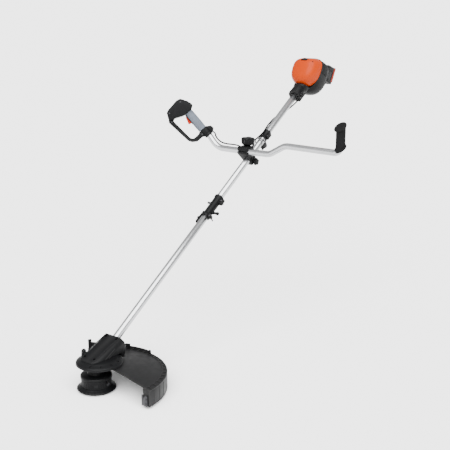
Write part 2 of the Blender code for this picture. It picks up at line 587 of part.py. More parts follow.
def bar_path():
    """The bar's centre line in the clamp's frame, from the throttle end to the left grip."""
    corners = [(x * MM, 0, z * MM) for x, z in BAR_CORNERS]
    left_end = (BAR_LEFT_END[0] * MM, 0, BAR_LEFT_END[1] * MM)
    right_end = (BAR_CORNERS[-1][0] * MM, 0, BAR_RIGHT_TOP * MM)
    return fillet_path(corners, [r * MM for r in BAR_FILLETS], left_end, right_end)


def handlebar(bar):
    path = bar_path()
    tip = path[0] + throttle_axes()[2] * 24 * MM
    pipe("handlebar", "aluminium", bar, [tip, *path], BAR_R, 4)
    grip_x = BAR_CORNERS[-1][0] * MM
    grip = turned("left_grip", "rubber", bar, [
        (0, 147 * MM), (GRIP_R, 147 * MM), (GRIP_R, 60 * MM), (23 * MM, 58 * MM), (23 * MM, 53.5 * MM),
        (21 * MM, 52 * MM), (17.8 * MM, 52 * MM), (17.8 * MM, 54.5 * MM), (13.7 * MM, 58 * MM),
        (12.6 * MM, 63 * MM), (12.6 * MM, 112.5 * MM), (0, 112.5 * MM)],
        loc=(grip_x, 0, 0), sides=24, closed=False)
    slant = empty("grip_cap_frame", bar, (grip_x - 1 * MM, 0, 130 * MM), CAP_TILT)
    cut(grip, box("grip_cap_room", None, slant, (-60 * MM, -60 * MM, -GAP), (60 * MM, 60 * MM, 60 * MM)))
    turned("grip_cap", "rubber", slant, [
        (0, 8 * MM), (19 * MM, 7.4 * MM), (23.5 * MM, 6 * MM), (25 * MM, 3.5 * MM), (24 * MM, 1 * MM),
        (22 * MM, 0), (0, 0)], sides=28, closed=False)


def throttle_plate(name, kind, handle, outline, low, high):
    """An outline of (finger side, up the grip) in millimetres, between two depths along the frame's y."""
    points = [(x * MM, z * MM) for x, z in outline]
    return plate(name, kind, handle, points, -high, -low, rot=(pi / 2, 0, 0))


HEAD_OUTLINE = [(-26, 130), (-25, 143), (-12, 170), (-4, 181), (12, 185), (60, 178), (72, 173), (84, 148),
                (66, 134), (61, 136), (28, 121.5), (-13, 121.5)]
FRAME_OUTLINE = [(84, 148), (90, 138), (78, 36), (70, 22), (52, 10), (24, 10), (6, 0), (-18, 0), (-32, 8),
                 (-30, 24), (-14, 33), (-7, 34), (-7, 126), (2, 126), (2, 34), (24, 33), (28, 29), (48, 28),
                 (58, 29), (65, 40), (72, 130), (60, 142)]


def throttle_handle(handle):
    """Two half shells round the bar's end, each with its half of the finger guard and of the boot."""
    for name, side in (("throttle_shell_front", 1), ("throttle_shell_rear", -1)):
        split = 0.15 * MM * side
        shell = throttle_plate(name, "black_plastic", handle, HEAD_OUTLINE, *sorted((split, 25 * MM * side)))
        frame = throttle_plate(name + "_frame", None, handle, FRAME_OUTLINE,
                               *sorted((split, 10 * MM * side)))
        boot = rod(name + "_boot", None, handle, 16 * MM, -2 * MM, 34 * MM)
        low_y, high_y = sorted((split, -30 * MM * side))
        cut(boot, box(name + "_other_half", None, handle, (-30 * MM, low_y, -10 * MM),
                      (30 * MM, high_y, 40 * MM)))
        join(shell, frame, boot)
        cut(shell, box(name + "_room", None, handle, (-13 * MM, -20 * MM, 127 * MM),
                       (32 * MM, 20 * MM, 168 * MM)),
            rod(name + "_power_hole", None, handle, 6 * MM + GAP, -12 * MM, 12 * MM, POWER_TURN, POWER_AT,
                sides=16),
            rod(name + "_bar_hole", None, handle, BAR_BORE + 3 * GAP, -20 * MM, 25 * MM, sides=20),
            box(name + "_spine_rear", None, handle, (-12 * MM, -20 * MM, 35 * MM),
                (11 * MM, -5.5 * MM, 121 * MM)),
            box(name + "_spine_front", None, handle, (-12 * MM, 5.5 * MM, 35 * MM),
                (11 * MM, 20 * MM, 121 * MM)))
    cut(bpy.data.objects["throttle_shell_rear"],
        rod("lock_off_hole", None, handle, 7 * MM + GAP, -40 * MM, -9 * MM, UP_SHAFT, LOCK_OFF_AT,
            sides=16))


def throttle_controls(handle):
    sleeve = turned("throttle_grip", "grip_grey", handle, [
        (17.5 * MM, 120.8 * MM), (17.5 * MM, 35.2 * MM), (13 * MM, 35.2 * MM), (13 * MM, 120.8 * MM)],
        loc=(4.5 * MM, 0, 0), sides=28)
    cut(sleeve, box("trigger_slot", None, handle, (4.5 * MM, -7 * MM, 74 * MM), (40 * MM, 7 * MM, 119 * MM)))
    pivot = empty("trigger_frame", handle, (13 * MM, 0, 113 * MM))
    throttle = [(-3.5, 3), (3, 4), (12, 0), (15.5, -10), (21.5, -28), (16, -33), (7, -31), (-3.5, -30)]
    plate("trigger", "trigger_plastic", pivot, [(x * MM, z * MM) for x, z in throttle], -6 * MM, 6 * MM,
          rot=(pi / 2, 0, 0))
    box("trigger_switch", "black_plastic", handle, (-6 * MM, -5 * MM, 129 * MM),
        (18 * MM, 5 * MM, 143 * MM), 1 * MM)
    turned("power_button", "rubber", handle, [
        (0, 3.2 * MM), (5 * MM, 2.8 * MM), (6 * MM, 1.8 * MM), (6 * MM, -2 * MM), (0, -2 * MM)],
        POWER_TURN, POWER_AT, sides=16, closed=False)
    turned("lock_off_button", "trigger_plastic", handle, [
        (0, -17 * MM), (7 * MM, -17 * MM), (7 * MM, -29 * MM), (6 * MM, -30 * MM), (0, -30 * MM)],
        UP_SHAFT, LOCK_OFF_AT, sides=16, closed=False)


def cables(shaft, bar):
    """The throttle lead: beside the bar to the clamp, then behind its knob and along the tube."""
    finger, _, up = throttle_axes()
    leaves = bar_path()[0] + finger * -24 * MM - up * 2.6 * MM
    route = [(-157, 16, 52), (-152, 14, 43), (-140, 10, 33), (-124, 6, 25.6), (-107, 3, 21.4),
             (-87, 3, 19.4), (-64, 3, 19.8), (-43, 3, 19.4), (-24.5, 3, 16.5)]
    knots = [leaves, *[Vector(point) * MM for point in route]]
    pipe("bar_lead", "rubber", bar, smooth_path(knots, 3), LEAD_R, 1)
    route = [(8, 1051.8, 33.7), (8, 1061, 29.7), (7, 1075, 32), (4, 1084, 37), (1, 1092, 36.2),
             (0, 1102, 30.5), (-1, 1119, 26), (0, 1129, 25), (0, 1142, 22.3),
             (0, 1158, 20.8), (-0.5, 1170, 20.7), (-3, 1185, 19.4), (-9.5, 1206, 13.8),
             (-14.6, 1230, 7), (-16.6, 1262, 1),
             (-13, 1300, -10.6), (0, 1345, -17), (9, 1380, -18.4), (12, 1406.6, -20.4)]
    pipe("shaft_lead", "rubber", shaft, smooth_path([Vector(point) * MM for point in route], 3), LEAD_R, 1)


# ---- motor housing and battery ------------------------------------------------------------------------
def egg(low, high, half_width, waist, count):
    """Shield outline of (x, up): square-shouldered above the waist, rounder below it."""
    points = []
    for k in range(count):
        angle = 2 * pi * k / count
        c, s = cos(angle), sin(angle)
        power = 0.625 if s > 0 else 0.85
        height = (high - waist) if s > 0 else (waist - low)
        x = half_width * abs(c) ** power * (1 if c > 0 else -1)
        y = waist + height * abs(s) ** power * (1 if s > 0 else -1)
        points.append((x, y))
    return points


def lofted(name, kind, parent, rings, cap_first=True, cap_last=True):
    """A skin through rings of points; the ends may be closed."""
    bm = bmesh.new()
    rows = [[bm.verts.new(point) for point in ring_points] for ring_points in rings]
    for one, two in zip(rows, rows[1:]):
        for k in range(len(one)):
            after = (k + 1) % len(one)
            bm.faces.new((one[k], one[after], two[after], two[k]))
    if cap_first:
        bm.faces.new(rows[0])
    if cap_last:
        bm.faces.new(rows[-1])
    return put(mesh_from(bm, name), name, kind, parent)


def shell_wall(obj, thickness):
    wall = obj.modifiers.new("wall", "SOLIDIFY")
    wall.thickness = thickness
    wall.offset = -1
    wall.use_even_offset = True


def motor_end(shaft, house):
    """In the housing frame y runs rearwards along the housing and z up its face."""
    count = 24
    dome = []
    depth, waist, nose_drop = 57 * MM, 50 * MM, 12 * MM
    outline = egg(-22 * MM, 104 * MM, 61.5 * MM, waist, count)
    for k in range(7):
        angle = (pi / 2) * k / 6.25
        scale = cos(angle) ** 0.43
        centre = waist - nose_drop * sin(angle)
        dome.append([(x * scale, -depth * sin(angle), centre + (z - waist) * scale) for x, z in outline])
    cover = lofted("orange_cover", "orange_plastic", house, dome, cap_first=False)
    shell_wall(cover, 2.6 * MM)
    cut(cover, box("vent_hole", None, house, (-16 * MM, -54 * MM, 68 * MM), (16 * MM, -11 * MM, 120 * MM)),
        rod("cover_shaft_hole", None, shaft, 7 * MM, 1440 * MM, 1500 * MM, UP_SHAFT, sides=16))
    body = lofted("housing_shell", "black_plastic", house, [
        [(x, GAP, z) for x, z in egg(-30 * MM, 106 * MM, 62 * MM, waist, count)],
        [(x, 20 * MM, z) for x, z in egg(-40 * MM, 109 * MM, 63 * MM, waist, count)],
        [(x, 52 * MM, z) for x, z in egg(-38 * MM, 112 * MM, 62 * MM, waist, count)],
        [(x, 65 * MM, z) for x, z in egg(-30 * MM, 110 * MM, 58 * MM, waist, count)]], cap_first=False)
    shell_wall(body, 2.6 * MM)
    cut(body, rod("housing_shaft_room", None, shaft, 14 * MM, 1440 * MM, 1500 * MM, UP_SHAFT))

    low, high = COLLAR
    neck = []
    for k in range(20):
        angle = 2 * pi * k / 20
        neck.append(house_from_shaft(27 * MM * cos(angle), high - 2 * MM, 27 * MM * sin(angle)))
    neck += [(side * x, y, -24 * MM) for side in (-1, 1) for x, y in
             ((20 * MM, -42 * MM), (30 * MM, -28 * MM), (33 * MM, -1 * MM))]
    neck += [(side * 26 * MM, -1 * MM, -38 * MM) for side in (-1, 1)]
    collar = hull("motor_collar", "black_plastic", house, neck)
    join(collar, rod("collar_barrel", None, shaft, 27.5 * MM, low, high - 1 * MM, UP_SHAFT),
         rod("collar_boss", None, shaft, 8 * MM, low, high + 4 * MM, UP_SHAFT,
             (14 * MM, 0, -21 * MM), sides=16))
    cut(collar, rod("collar_bore", None, shaft, TUBE_BORE, low - 10 * MM, UPPER_TUBE[1] + GAP,
                    UP_SHAFT, sides=28),
        rod("collar_shaft_bore", None, shaft, 6 * MM, low, high + 60 * MM, UP_SHAFT, sides=16))

    ring("stator", "copper", shaft, 17.8 * MM, 28 * MM, 1530 * MM, 1570 * MM, UP_SHAFT)
    ring("rotor", "steel", shaft, DRIVE_R + GAP, 17 * MM, 1527 * MM, 1573 * MM, UP_SHAFT)
    ring("motor_bearing", "steel", shaft, DRIVE_R + GAP, 11 * MM, 1504 * MM, 1511 * MM, UP_SHAFT)
    box("controller_board", "board_green", house, (-38 * MM, 14 * MM, 90 * MM), (38 * MM, 58 * MM, 92 * MM))

    frame = plate("rear_frame", "black_plastic", house, egg(-24 * MM, 106 * MM, 54 * MM, waist, count),
                  -71 * MM, -65.4 * MM, rot=(pi / 2, 0, 0))
    for side in (-1, 1):
        low_x, high_x = sorted((side * 47.5 * MM, side * 52.5 * MM))
        join(frame, box("rear_rail_%d" % side, None, house, (low_x, 69 * MM, 54 * MM),
                        (high_x, 98 * MM, 90 * MM)))
    side, floor_z = 46.5 * MM, 46 * MM
    pack = hull("battery_pack", "black_plastic", house, [
        (sign * x, y, z) for sign in (-1, 1) for x, y, z in (
            (side, 71.4 * MM, floor_z + 4 * MM), (side - 4 * MM, 71.4 * MM, floor_z),
            (side, 71.4 * MM, 108 * MM), (side - 4 * MM, 71.4 * MM, 112 * MM),
            (side, 122 * MM, floor_z + 4 * MM), (side - 4 * MM, 122 * MM, floor_z),
            (side, 122 * MM, 115 * MM), (side - 4 * MM, 122 * MM, 119 * MM))])
    cut(pack, box("latch_pocket", None, house, (-14.4 * MM, 91.6 * MM, 107.5 * MM),
                  (14.4 * MM, 110.4 * MM, 130 * MM)))
    box("battery_band", "band_red", house, (-47.5 * MM, 122.4 * MM, 56 * MM),
        (47.5 * MM, 133 * MM, 121 * MM), 3 * MM)
    box("battery_latch", "rubber", house, (-14 * MM, 92 * MM, 112 * MM),
        (14 * MM, 110 * MM, 120 * MM), 1 * MM)


def house_from_shaft(x, y, z):
    """A point of the shaft's frame, in the housing's frame."""
    tilt = SHAFT_ANGLE - HOUSING_PITCH
    y -= HOUSING_AT
    return (x, y * cos(tilt) - z * sin(tilt), y * sin(tilt) + z * cos(tilt))


def main():
    start()
    head = empty("head_frame", None, (0, 0, APEX_Z))
    shaft = empty("shaft_frame", None, (0, 0, APEX_Z), (SHAFT_ANGLE, 0, 0))
    house = empty("housing_frame", None, shaft_to_world(0, HOUSING_AT, 0), (HOUSING_PITCH, 0, 0))
    bar = empty("bar_frame", None, shaft_to_world(0, CLAMP_AT, BAR_ABOVE))
    finger, front, up = throttle_axes()
    turn = Matrix((finger, front, up)).transposed()
    left_end = Vector((BAR_LEFT_END[0] * MM, 0, BAR_LEFT_END[1] * MM))
    handle = empty("throttle_frame", bar, left_end, turn.to_euler())

    gear_case(head, shaft)
    head_covers(head, shaft)
    guard_flange(head, shaft)
    guard(head, shaft)
    line_cutter(head)
    head_drive(head, shaft)
    trimmer(head)
    tubes_and_drive(shaft)
    coupler(shaft)
    harness_clamp(shaft)
    bar_clamp(shaft, bar)
    handlebar(bar)
    throttle_handle(handle)
    throttle_controls(handle)
    cables(shaft, bar)
    motor_end(shaft, house)


main()
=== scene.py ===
"""Looks of the cordless brush cutter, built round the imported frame.

Shapes are drawn in millimetres in five local frames taken from the record's joints: the head (z up the
spindle), the shaft (y up the tube), the handlebar clamp, the throttle handle (z up the grip, x towards the
finger guard) and the motor housing (y rearwards, z up its face).
"""

import json
from math import atan2, cos, pi, radians, sin

import bmesh
import bpy
from mathutils import Euler, Matrix, Vector
from mathutils.bvhtree import BVHTree


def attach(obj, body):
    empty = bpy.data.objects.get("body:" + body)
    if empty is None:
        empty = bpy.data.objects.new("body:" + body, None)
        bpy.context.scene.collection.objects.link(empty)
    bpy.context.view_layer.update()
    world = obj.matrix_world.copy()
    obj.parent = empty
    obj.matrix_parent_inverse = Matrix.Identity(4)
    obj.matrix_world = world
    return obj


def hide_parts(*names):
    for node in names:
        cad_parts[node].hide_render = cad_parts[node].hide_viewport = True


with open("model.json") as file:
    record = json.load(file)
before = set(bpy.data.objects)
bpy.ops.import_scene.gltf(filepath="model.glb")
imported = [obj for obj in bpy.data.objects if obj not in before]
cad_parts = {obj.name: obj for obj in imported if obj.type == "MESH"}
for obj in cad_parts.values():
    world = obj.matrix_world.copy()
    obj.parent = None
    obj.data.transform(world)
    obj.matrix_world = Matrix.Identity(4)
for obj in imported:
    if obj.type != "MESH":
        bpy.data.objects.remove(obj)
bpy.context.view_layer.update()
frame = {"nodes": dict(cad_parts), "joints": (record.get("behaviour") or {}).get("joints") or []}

MM = 0.001
JOINTS = {joint["name"]: joint for joint in frame["joints"]}


def joint_at(name):
    return Vector(JOINTS[name]["pos_m"])


def joint_axis(name):
    return Vector(JOINTS[name]["axis"]).normalized()


# ---- local frames -------------------------------------------------------------------------------------
def frame_of(origin, x, y, z):
    turn = Matrix((x, y, z)).transposed().to_4x4()
    return Matrix.Translation(origin) @ turn


X_AXIS = Vector((1, 0, 0))
UP_SHAFT = -joint_axis("lower_unit_slide")
APEX = joint_at("head_spin")
HEAD = Matrix.Translation(APEX)
SHAFT = frame_of(APEX, X_AXIS, UP_SHAFT, X_AXIS.cross(UP_SHAFT))
BAR = Matrix.Translation(joint_at("handlebar_tilt"))
HOUSING_Y = joint_axis("battery_slide")
HOUSING = frame_of(SHAFT @ Vector((0, 1.5, 0)), X_AXIS, HOUSING_Y, X_AXIS.cross(HOUSING_Y))
GRIP_UP = Vector((-0.587, -0.300, 0.752)).normalized()
GRIP_FRONT = joint_axis("trigger_squeeze")
GRIP_FINGER = GRIP_FRONT.cross(GRIP_UP)
BAR_LEFT_END = Vector((-175, 0, 46))
THROTTLE = frame_of(BAR @ (BAR_LEFT_END * MM), GRIP_FINGER, GRIP_FRONT, GRIP_UP)


def shift(x=0, y=0, z=0):
    return Matrix.Translation((x, y, z))


def spot(place, x=0, y=0, z=0):
    """A local frame moved by millimetres along its own axes."""
    return place @ shift(x * MM, y * MM, z * MM)


def shaft_seen_from(place):
    """The shaft's frame as another local frame has it, in millimetres."""
    seen = place.inverted() @ SHAFT
    seen.translation /= MM
    return seen


ALONG_Y = Matrix.Rotation(-pi / 2, 4, "X")       # turns a lathe's z onto y
ALONG_X = Matrix.Rotation(pi / 2, 4, "Y")        # ... onto +x
ALONG_MINUS_X = Matrix.Rotation(-pi / 2, 4, "Y")
FACING_Y = Matrix.Rotation(pi / 2, 4, "X")       # turns an outline's (x, y) onto (x, z)

# ---- sizes in millimetres -----------------------------------------------------------------------------
TUBE_R = 13
BAR_R = 12
COUPLER_LOW, COUPLER_HIGH = 698, 803
HARNESS_AT = 1158
CLAMP_AT = 1020
COLLAR_LOW, COLLAR_HIGH = 1407, 1450
FLANGE_AT = (10, 8)
GUARD_X, GUARD_R = 30, 212
GUARD_FROM, GUARD_TO = radians(-2), radians(149)
GUARD_PLACE = spot(HEAD, GUARD_X)
LOOP_R = 25
LEAD_R = 2.9


# ---- mesh helpers, in millimetres ---------------------------------------------------------------------
def outward(bm):
    bmesh.ops.recalc_face_normals(bm, faces=bm.faces)
    return bm


def skin(bm, rows, closed=True):
    """Faces between rows of vertices; a closed row's last vertex also meets its first."""
    for one, two in zip(rows, rows[1:]):
        for k in range(len(one) if closed else len(one) - 1):
            after = (k + 1) % len(one)
            bm.faces.new((one[k], one[after], two[after], two[k]))


def lathe(profile, sides=72, wave=None):
    """Turn (radius, height) points round z; wave(angle, radius, height) may change a radius.

    A profile that ends off the axis is closed into a ring."""
    bm = bmesh.new()
    rows = []
    for radius, height in profile:
        if radius < 1e-6:
            rows.append([bm.verts.new((0, 0, height))])
            continue
        row = []
        for k in range(sides):
            angle = 2 * pi * k / sides
            r = wave(angle, radius, height) if wave else radius
            row.append(bm.verts.new((r * cos(angle), r * sin(angle), height)))
        rows.append(row)
    pairs = list(zip(rows, rows[1:]))
    if len(rows[0]) > 1 and len(rows[-1]) > 1:
        pairs.append((rows[-1], rows[0]))
    for one, two in pairs:
        for k in range(sides):
            after = (k + 1) % sides
            corners = [one[k % len(one)], one[after % len(one)], two[after % len(two)], two[k % len(two)]]
            corners = [c for i, c in enumerate(corners) if c not in corners[:i]]
            if len(corners) > 2:
                bm.faces.new(corners)
    return outward(bm)


def prism(outline, low, high):
    """A flat outline of (x, y) between two heights."""
    bm = bmesh.new()
    ends = [[bm.verts.new((x, y, height)) for x, y in outline] for height in (low, high)]
    for end in ends:
        bm.faces.new(end)
    skin(bm, ends)
    return outward(bm)


def block(one, other):
    """A box between two opposite corners, in either order."""
    low, high = (Vector(map(pick, one, other)) for pick in (min, max))
    bm = bmesh.new()
    bmesh.ops.create_cube(bm, size=1)
    bmesh.ops.scale(bm, vec=high - low, verts=bm.verts)
    bmesh.ops.translate(bm, vec=(low + high) / 2, verts=bm.verts)
    return bm


def rod(radius, low, high, sides=48):
    return lathe([(0, high), (radius, high), (radius, low), (0, low)], sides)


def wrap(points):
    """The convex block round points."""
    bm = bmesh.new()
    for point in points:
        bm.verts.new(point)
    bmesh.ops.convex_hull(bm, input=bm.verts)
    bmesh.ops.delete(bm, geom=[v for v in bm.verts if not v.link_faces], context="VERTS")
    bmesh.ops.dissolve_limit(bm, angle_limit=radians(1), verts=bm.verts, edges=bm.edges)
    return bm


def loft(rows, cap_first=False, cap_last=False):
    bm = bmesh.new()
    rows = [[bm.verts.new(point) for point in row] for row in rows]
    skin(bm, rows)
    if cap_first:
        bm.faces.new(rows[0])
    if cap_last:
        bm.faces.new(rows[-1])
    return outward(bm)


def sheet(grid):
    """An open sheet through a grid of points, facing up."""
    bm = bmesh.new()
    skin(bm, [[bm.verts.new(point) for point in row] for row in grid], closed=False)
    outward(bm)
    if sum(face.normal.z for face in bm.faces) < 0:
        bmesh.ops.reverse_faces(bm, faces=bm.faces)
    return bm


def sweep(path, radius, sides=20, flat=1.0):
    """A round bar along points; the attribute "straight" holds each vertex's place on it laid straight."""
    bm = bmesh.new()
    layer = bm.verts.layers.float_vector.new("straight")
    path = [Vector(p) for p in path]
    normal = None
    travelled = 0.0
    rows = []
    for k, point in enumerate(path):
        along = (path[min(k + 1, len(path) - 1)] - path[max(k - 1, 0)]).normalized()
        if normal is None:
            normal = along.orthogonal().normalized()
        else:
            travelled += (point - path[k - 1]).length
            normal = (normal - along * normal.dot(along)).normalized()
        side = along.cross(normal)
        row = []
        for j in range(sides):
            angle = 2 * pi * j / sides
            vert = bm.verts.new(point + (normal * cos(angle) + side * sin(angle) * flat) * radius)
            vert[layer] = Vector((cos(angle) * radius, sin(angle) * radius, travelled)) * MM
            row.append(vert)
        rows.append(row)
    skin(bm, rows)
    bm.faces.new(rows[0])
    bm.faces.new(rows[-1])
    return outward(bm)


def level(edge):
    return abs(edge.verts[0].co.z - edge.verts[1].co.z) < 0.1


def soften(bm, width, segments=3, sharper=30, where=None):
    """Round the edges sharper than an angle; where(edge) may pick some of them."""
    edges = [e for e in bm.edges if len(e.link_faces) == 2 and e.calc_face_angle(0) > radians(sharper)
             and (where is None or where(e))]
    bmesh.ops.bevel(bm, geom=edges, offset=width, offset_type="OFFSET", segments=segments, profile=0.5,
                    affect="EDGES", clamp_overlap=True)
    return bm


def turned_by(bm, matrix):
    bm.transform(matrix)
    return bm


def moved(bm, x=0, y=0, z=0):
    return turned_by(bm, shift(x, y, z))


def merged(*bms):
    """Several bmeshes as one object of several shells, for small raised details of one piece."""
    mesh = bpy.data.meshes.new("merge")
    whole = bmesh.new()
    for bm in bms:
        bm.to_mesh(mesh)
        bm.free()
        whole.from_mesh(mesh)
    bpy.data.meshes.remove(mesh)
    return whole


def solid(bm, name):
    """A bmesh in millimetres becomes an object in metres, not yet placed."""
    mesh = bpy.data.meshes.new(name)
    bmesh.ops.scale(bm, vec=(MM, MM, MM), verts=bm.verts)
    bm.to_mesh(mesh)
    bm.free()
    obj = bpy.data.objects.new(name, mesh)
    bpy.context.scene.collection.objects.link(obj)
    return obj


def evaluated(obj):
    """The bmesh that an object's modifiers make; the object goes."""
    bpy.context.view_layer.update()
    mesh = bpy.data.meshes.new_from_object(obj.evaluated_get(bpy.context.evaluated_depsgraph_get()))
    bpy.data.objects.remove(obj)
    out = bmesh.new()
    out.from_mesh(mesh)
    bmesh.ops.scale(out, vec=(1 / MM,) * 3, verts=out.verts)
    return out


def shaped(bm, joins=(), cuts=()):
    """A bmesh joined with some bmeshes and cut by others."""
    base = solid(bm, "work")
    tools = []
    for how, group in (("UNION", joins), ("DIFFERENCE", cuts)):
        for tool_bm in group:
            tool = solid(tool_bm, "tool")
            tools.append(tool)
            mod = base.modifiers.new("shape", "BOOLEAN")
            mod.operation = how
            mod.solver = "EXACT"
            mod.object = tool
    out = evaluated(base)
    for tool in tools:
        bpy.data.objects.remove(tool)
    return out


def walled(bm, thickness):
    """A skin becomes a shell of the given thickness, inwards."""
    obj = solid(bm, "skin_work")
    wall = obj.modifiers.new("wall", "SOLIDIFY")
    wall.thickness, wall.offset, wall.use_even_offset = thickness * MM, -1, True
    return evaluated(obj)


def fillet(corners, radii, step=radians(8)):
    """Round the corners of a closed outline of (x, y)."""
    count = len(corners)
    points = []
    for k, radius in enumerate(radii):
        here = Vector(corners[k])
        before = Vector(corners[k - 1]) - here
        after = Vector(corners[(k + 1) % count]) - here
        turn = pi - before.angle(after)
        if radius <= 0 or turn < radians(4):
            points.append(tuple(here))
            continue
        reach = min(radius * sin(turn / 2) / cos(turn / 2), before.length * 0.48, after.length * 0.48)
        radius = reach * cos(turn / 2) / sin(turn / 2)
        first, last = here + before.normalized() * reach, here + after.normalized() * reach
        middle = here + (before.normalized() + after.normalized()).normalized() * (radius / cos(turn / 2))
        steps = max(2, int(turn / step))
        start = atan2(*(first - middle).yx)
        sweep_by = (atan2(*(last - middle).yx) - start + pi) % (2 * pi) - pi
        for j in range(steps + 1):
            angle = start + sweep_by * j / steps
            points.append((middle.x + radius * cos(angle), middle.y + radius * sin(angle)))
    return points


def spread_out(outline, step):
    """A closed outline with points added along its long sides."""
    points = []
    for here, after in zip(outline, outline[1:] + outline[:1]):
        here, after = Vector(here), Vector(after)
        count = max(1, int((after - here).length / step))
        points += [tuple(here.lerp(after, k / count)) for k in range(count)]
    return points


def bent_path(corners, radii, start_point, end_point, step=radians(4)):
    """Straight runs through corners, with an arc of the given radius at each one."""
    points = [Vector(start_point)]
    for index, (corner, radius) in enumerate(zip(corners, radii)):
        corner = Vector(corner)
        before = (Vector(corners[index - 1] if index else start_point) - corner).normalized()
        after = (Vector(corners[index + 1] if index + 1 < len(corners) else end_point) - corner).normalized()
        turn = pi - before.angle(after)
        reach = radius * sin(turn / 2) / cos(turn / 2)
        first, last = corner + before * reach, corner + after * reach
        middle = corner + (before + after).normalized() * (radius / cos(turn / 2))
        count = max(2, int(turn / step) + 1)
        for k in range(count + 1):
            spoke = (first - middle).slerp(last - middle, k / count)
            points.append(middle + spoke * radius)
    points.append(Vector(end_point))
    return points


def smooth_path(knots, per_span):
    """Points of a Catmull-Rom curve through the knots."""
    knots = [Vector(k) for k in knots]
    ends = [2 * knots[0] - knots[1], *knots, 2 * knots[-1] - knots[-2]]
    points = []
    for a, b, c, d in zip(ends, ends[1:], ends[2:], ends[3:]):
        for k in range(per_span):
            t = k / per_span
            points.append(0.5 * (2 * b + (c - a) * t + (2 * a - 5 * b + 4 * c - d) * t ** 2
                                 + (3 * b - a - 3 * c + d) * t ** 3))
    points.append(knots[-1])
    return points


def piece(bm, name, look, body, place, replaces=(), crease=32):
    """Turn a bmesh in a local frame into a finished piece that rides on a body."""
    obj = solid(bm, name)
    obj.matrix_world = place
    obj.data.materials.clear()
    obj.data.materials.append(look)
    for face in obj.data.polygons:
        face.use_smooth = True
    obj.data.set_sharp_from_angle(angle=radians(crease))
    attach(obj, body)
    if replaces:
        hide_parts(*replaces)


# ---- materials ----------------------------------------------------------------------------------------
class Look:
    """A Principled material and the nodes that feed it."""

    def __init__(self, name, colour, roughness, metallic=0.0, **sockets):
        self.mat = bpy.data.materials.new(name)
        self.mat.use_nodes = True
        self.mat.diffuse_color = (*colour, 1)
        self.shader = self.mat.node_tree.nodes["Principled BSDF"]
        self.set("Base Color", (*colour, 1))
        self.set("Roughness", roughness)
        self.set("Metallic", metallic)
        for socket, value in sockets.items():
            self.set(socket.replace("_", " "), value)

    def set(self, socket, value):
        target = self.shader.inputs[socket]
        if isinstance(value, bpy.types.NodeSocket):
            self.mat.node_tree.links.new(value, target)
        else:
            target.default_value = value

    def node(self, kind, out=0, inputs=None, **props):
        node = self.mat.node_tree.nodes.new(kind)
        for prop, value in props.items():
            setattr(node, prop, value)
        for socket, value in (inputs or {}).items():
            if isinstance(value, bpy.types.NodeSocket):
                self.mat.node_tree.links.new(value, node.inputs[socket])
            else:
                node.inputs[socket].default_value = value
        return node.outputs[out]

    def place(self, scale=(1, 1, 1), attribute=None):
        if attribute:
            source = self.node("ShaderNodeAttribute", "Vector", attribute_name=attribute)
        else:
            source = self.node("ShaderNodeTexCoord", "Object")
        return self.node("ShaderNodeMapping", 0, {"Vector": source, "Scale": scale})

    def noise(self, where, scale, detail=3.0, rough=0.55):
        return self.node("ShaderNodeTexNoise", 0, {"Vector": where, "Scale": scale, "Detail": detail,
                                                   "Roughness": rough})

    def spread(self, value, low, high, start=0.0, end=1.0):
        """Map a 0..1 value onto low..high."""
        return self.node("ShaderNodeMapRange", 0, {"Value": value, "From Min": start, "From Max": end,
                                                   "To Min": low, "To Max": high})

    def tint(self, value, dark, light):
        ramp_out = self.node("ShaderNodeValToRGB", 0, {"Fac": value})
        ramp = ramp_out.node.color_ramp
        ramp.elements[0].position, ramp.elements[1].position = 0.3, 0.7
        ramp.elements[0].color, ramp.elements[1].color = (*dark, 1), (*light, 1)
        return ramp_out

    def worn(self, colour_out, wear, amount):
        """Lighten convex edges, as rubbing does."""
        edge = self.node("ShaderNodeNewGeometry", "Pointiness")
        mask = self.spread(edge, 0.0, amount, 0.53, 0.62)
        mix = self.mat.node_tree.nodes.new("ShaderNodeMix")
        mix.data_type = "RGBA"
        links = self.mat.node_tree.links
        links.new(mask, mix.inputs[0])
        links.new(colour_out, mix.inputs[6])
        mix.inputs[7].default_value = (*wear, 1)
        return mix.outputs[2]

    def bump(self, height, strength, distance, after=None):
        inputs = {"Height": height, "Strength": strength, "Distance": distance}
        if after is not None:
            inputs["Normal"] = after
        return self.node("ShaderNodeBump", 0, inputs)


def shaded(colour, amount):
    return tuple(min(1, channel * amount) for channel in colour)


def plastic(name, colour, roughness, grain=1400, grain_depth=0.00004, wear=None):
    """Moulded plastic: fine spark-eroded grain, faint mottling, rubbed edges and uneven gloss."""
    look = Look(name, colour, roughness, Specular_IOR_Level=0.07)
    here = look.place()
    clouds = look.noise(here, 28, 4)
    fine = look.noise(here, grain, 2, 0.6)
    tinted = look.tint(clouds, shaded(colour, 0.85), shaded(colour, 1.15))
    if wear:
        tinted = look.worn(tinted, wear, 0.35)
    look.set("Base Color", tinted)
    gloss = look.noise(here, 90, 5)
    look.set("Roughness", look.spread(gloss, roughness - 0.07, roughness + 0.09, 0.25, 0.75))
    look.set("Normal", look.bump(fine, 0.3, grain_depth))
    return look.mat


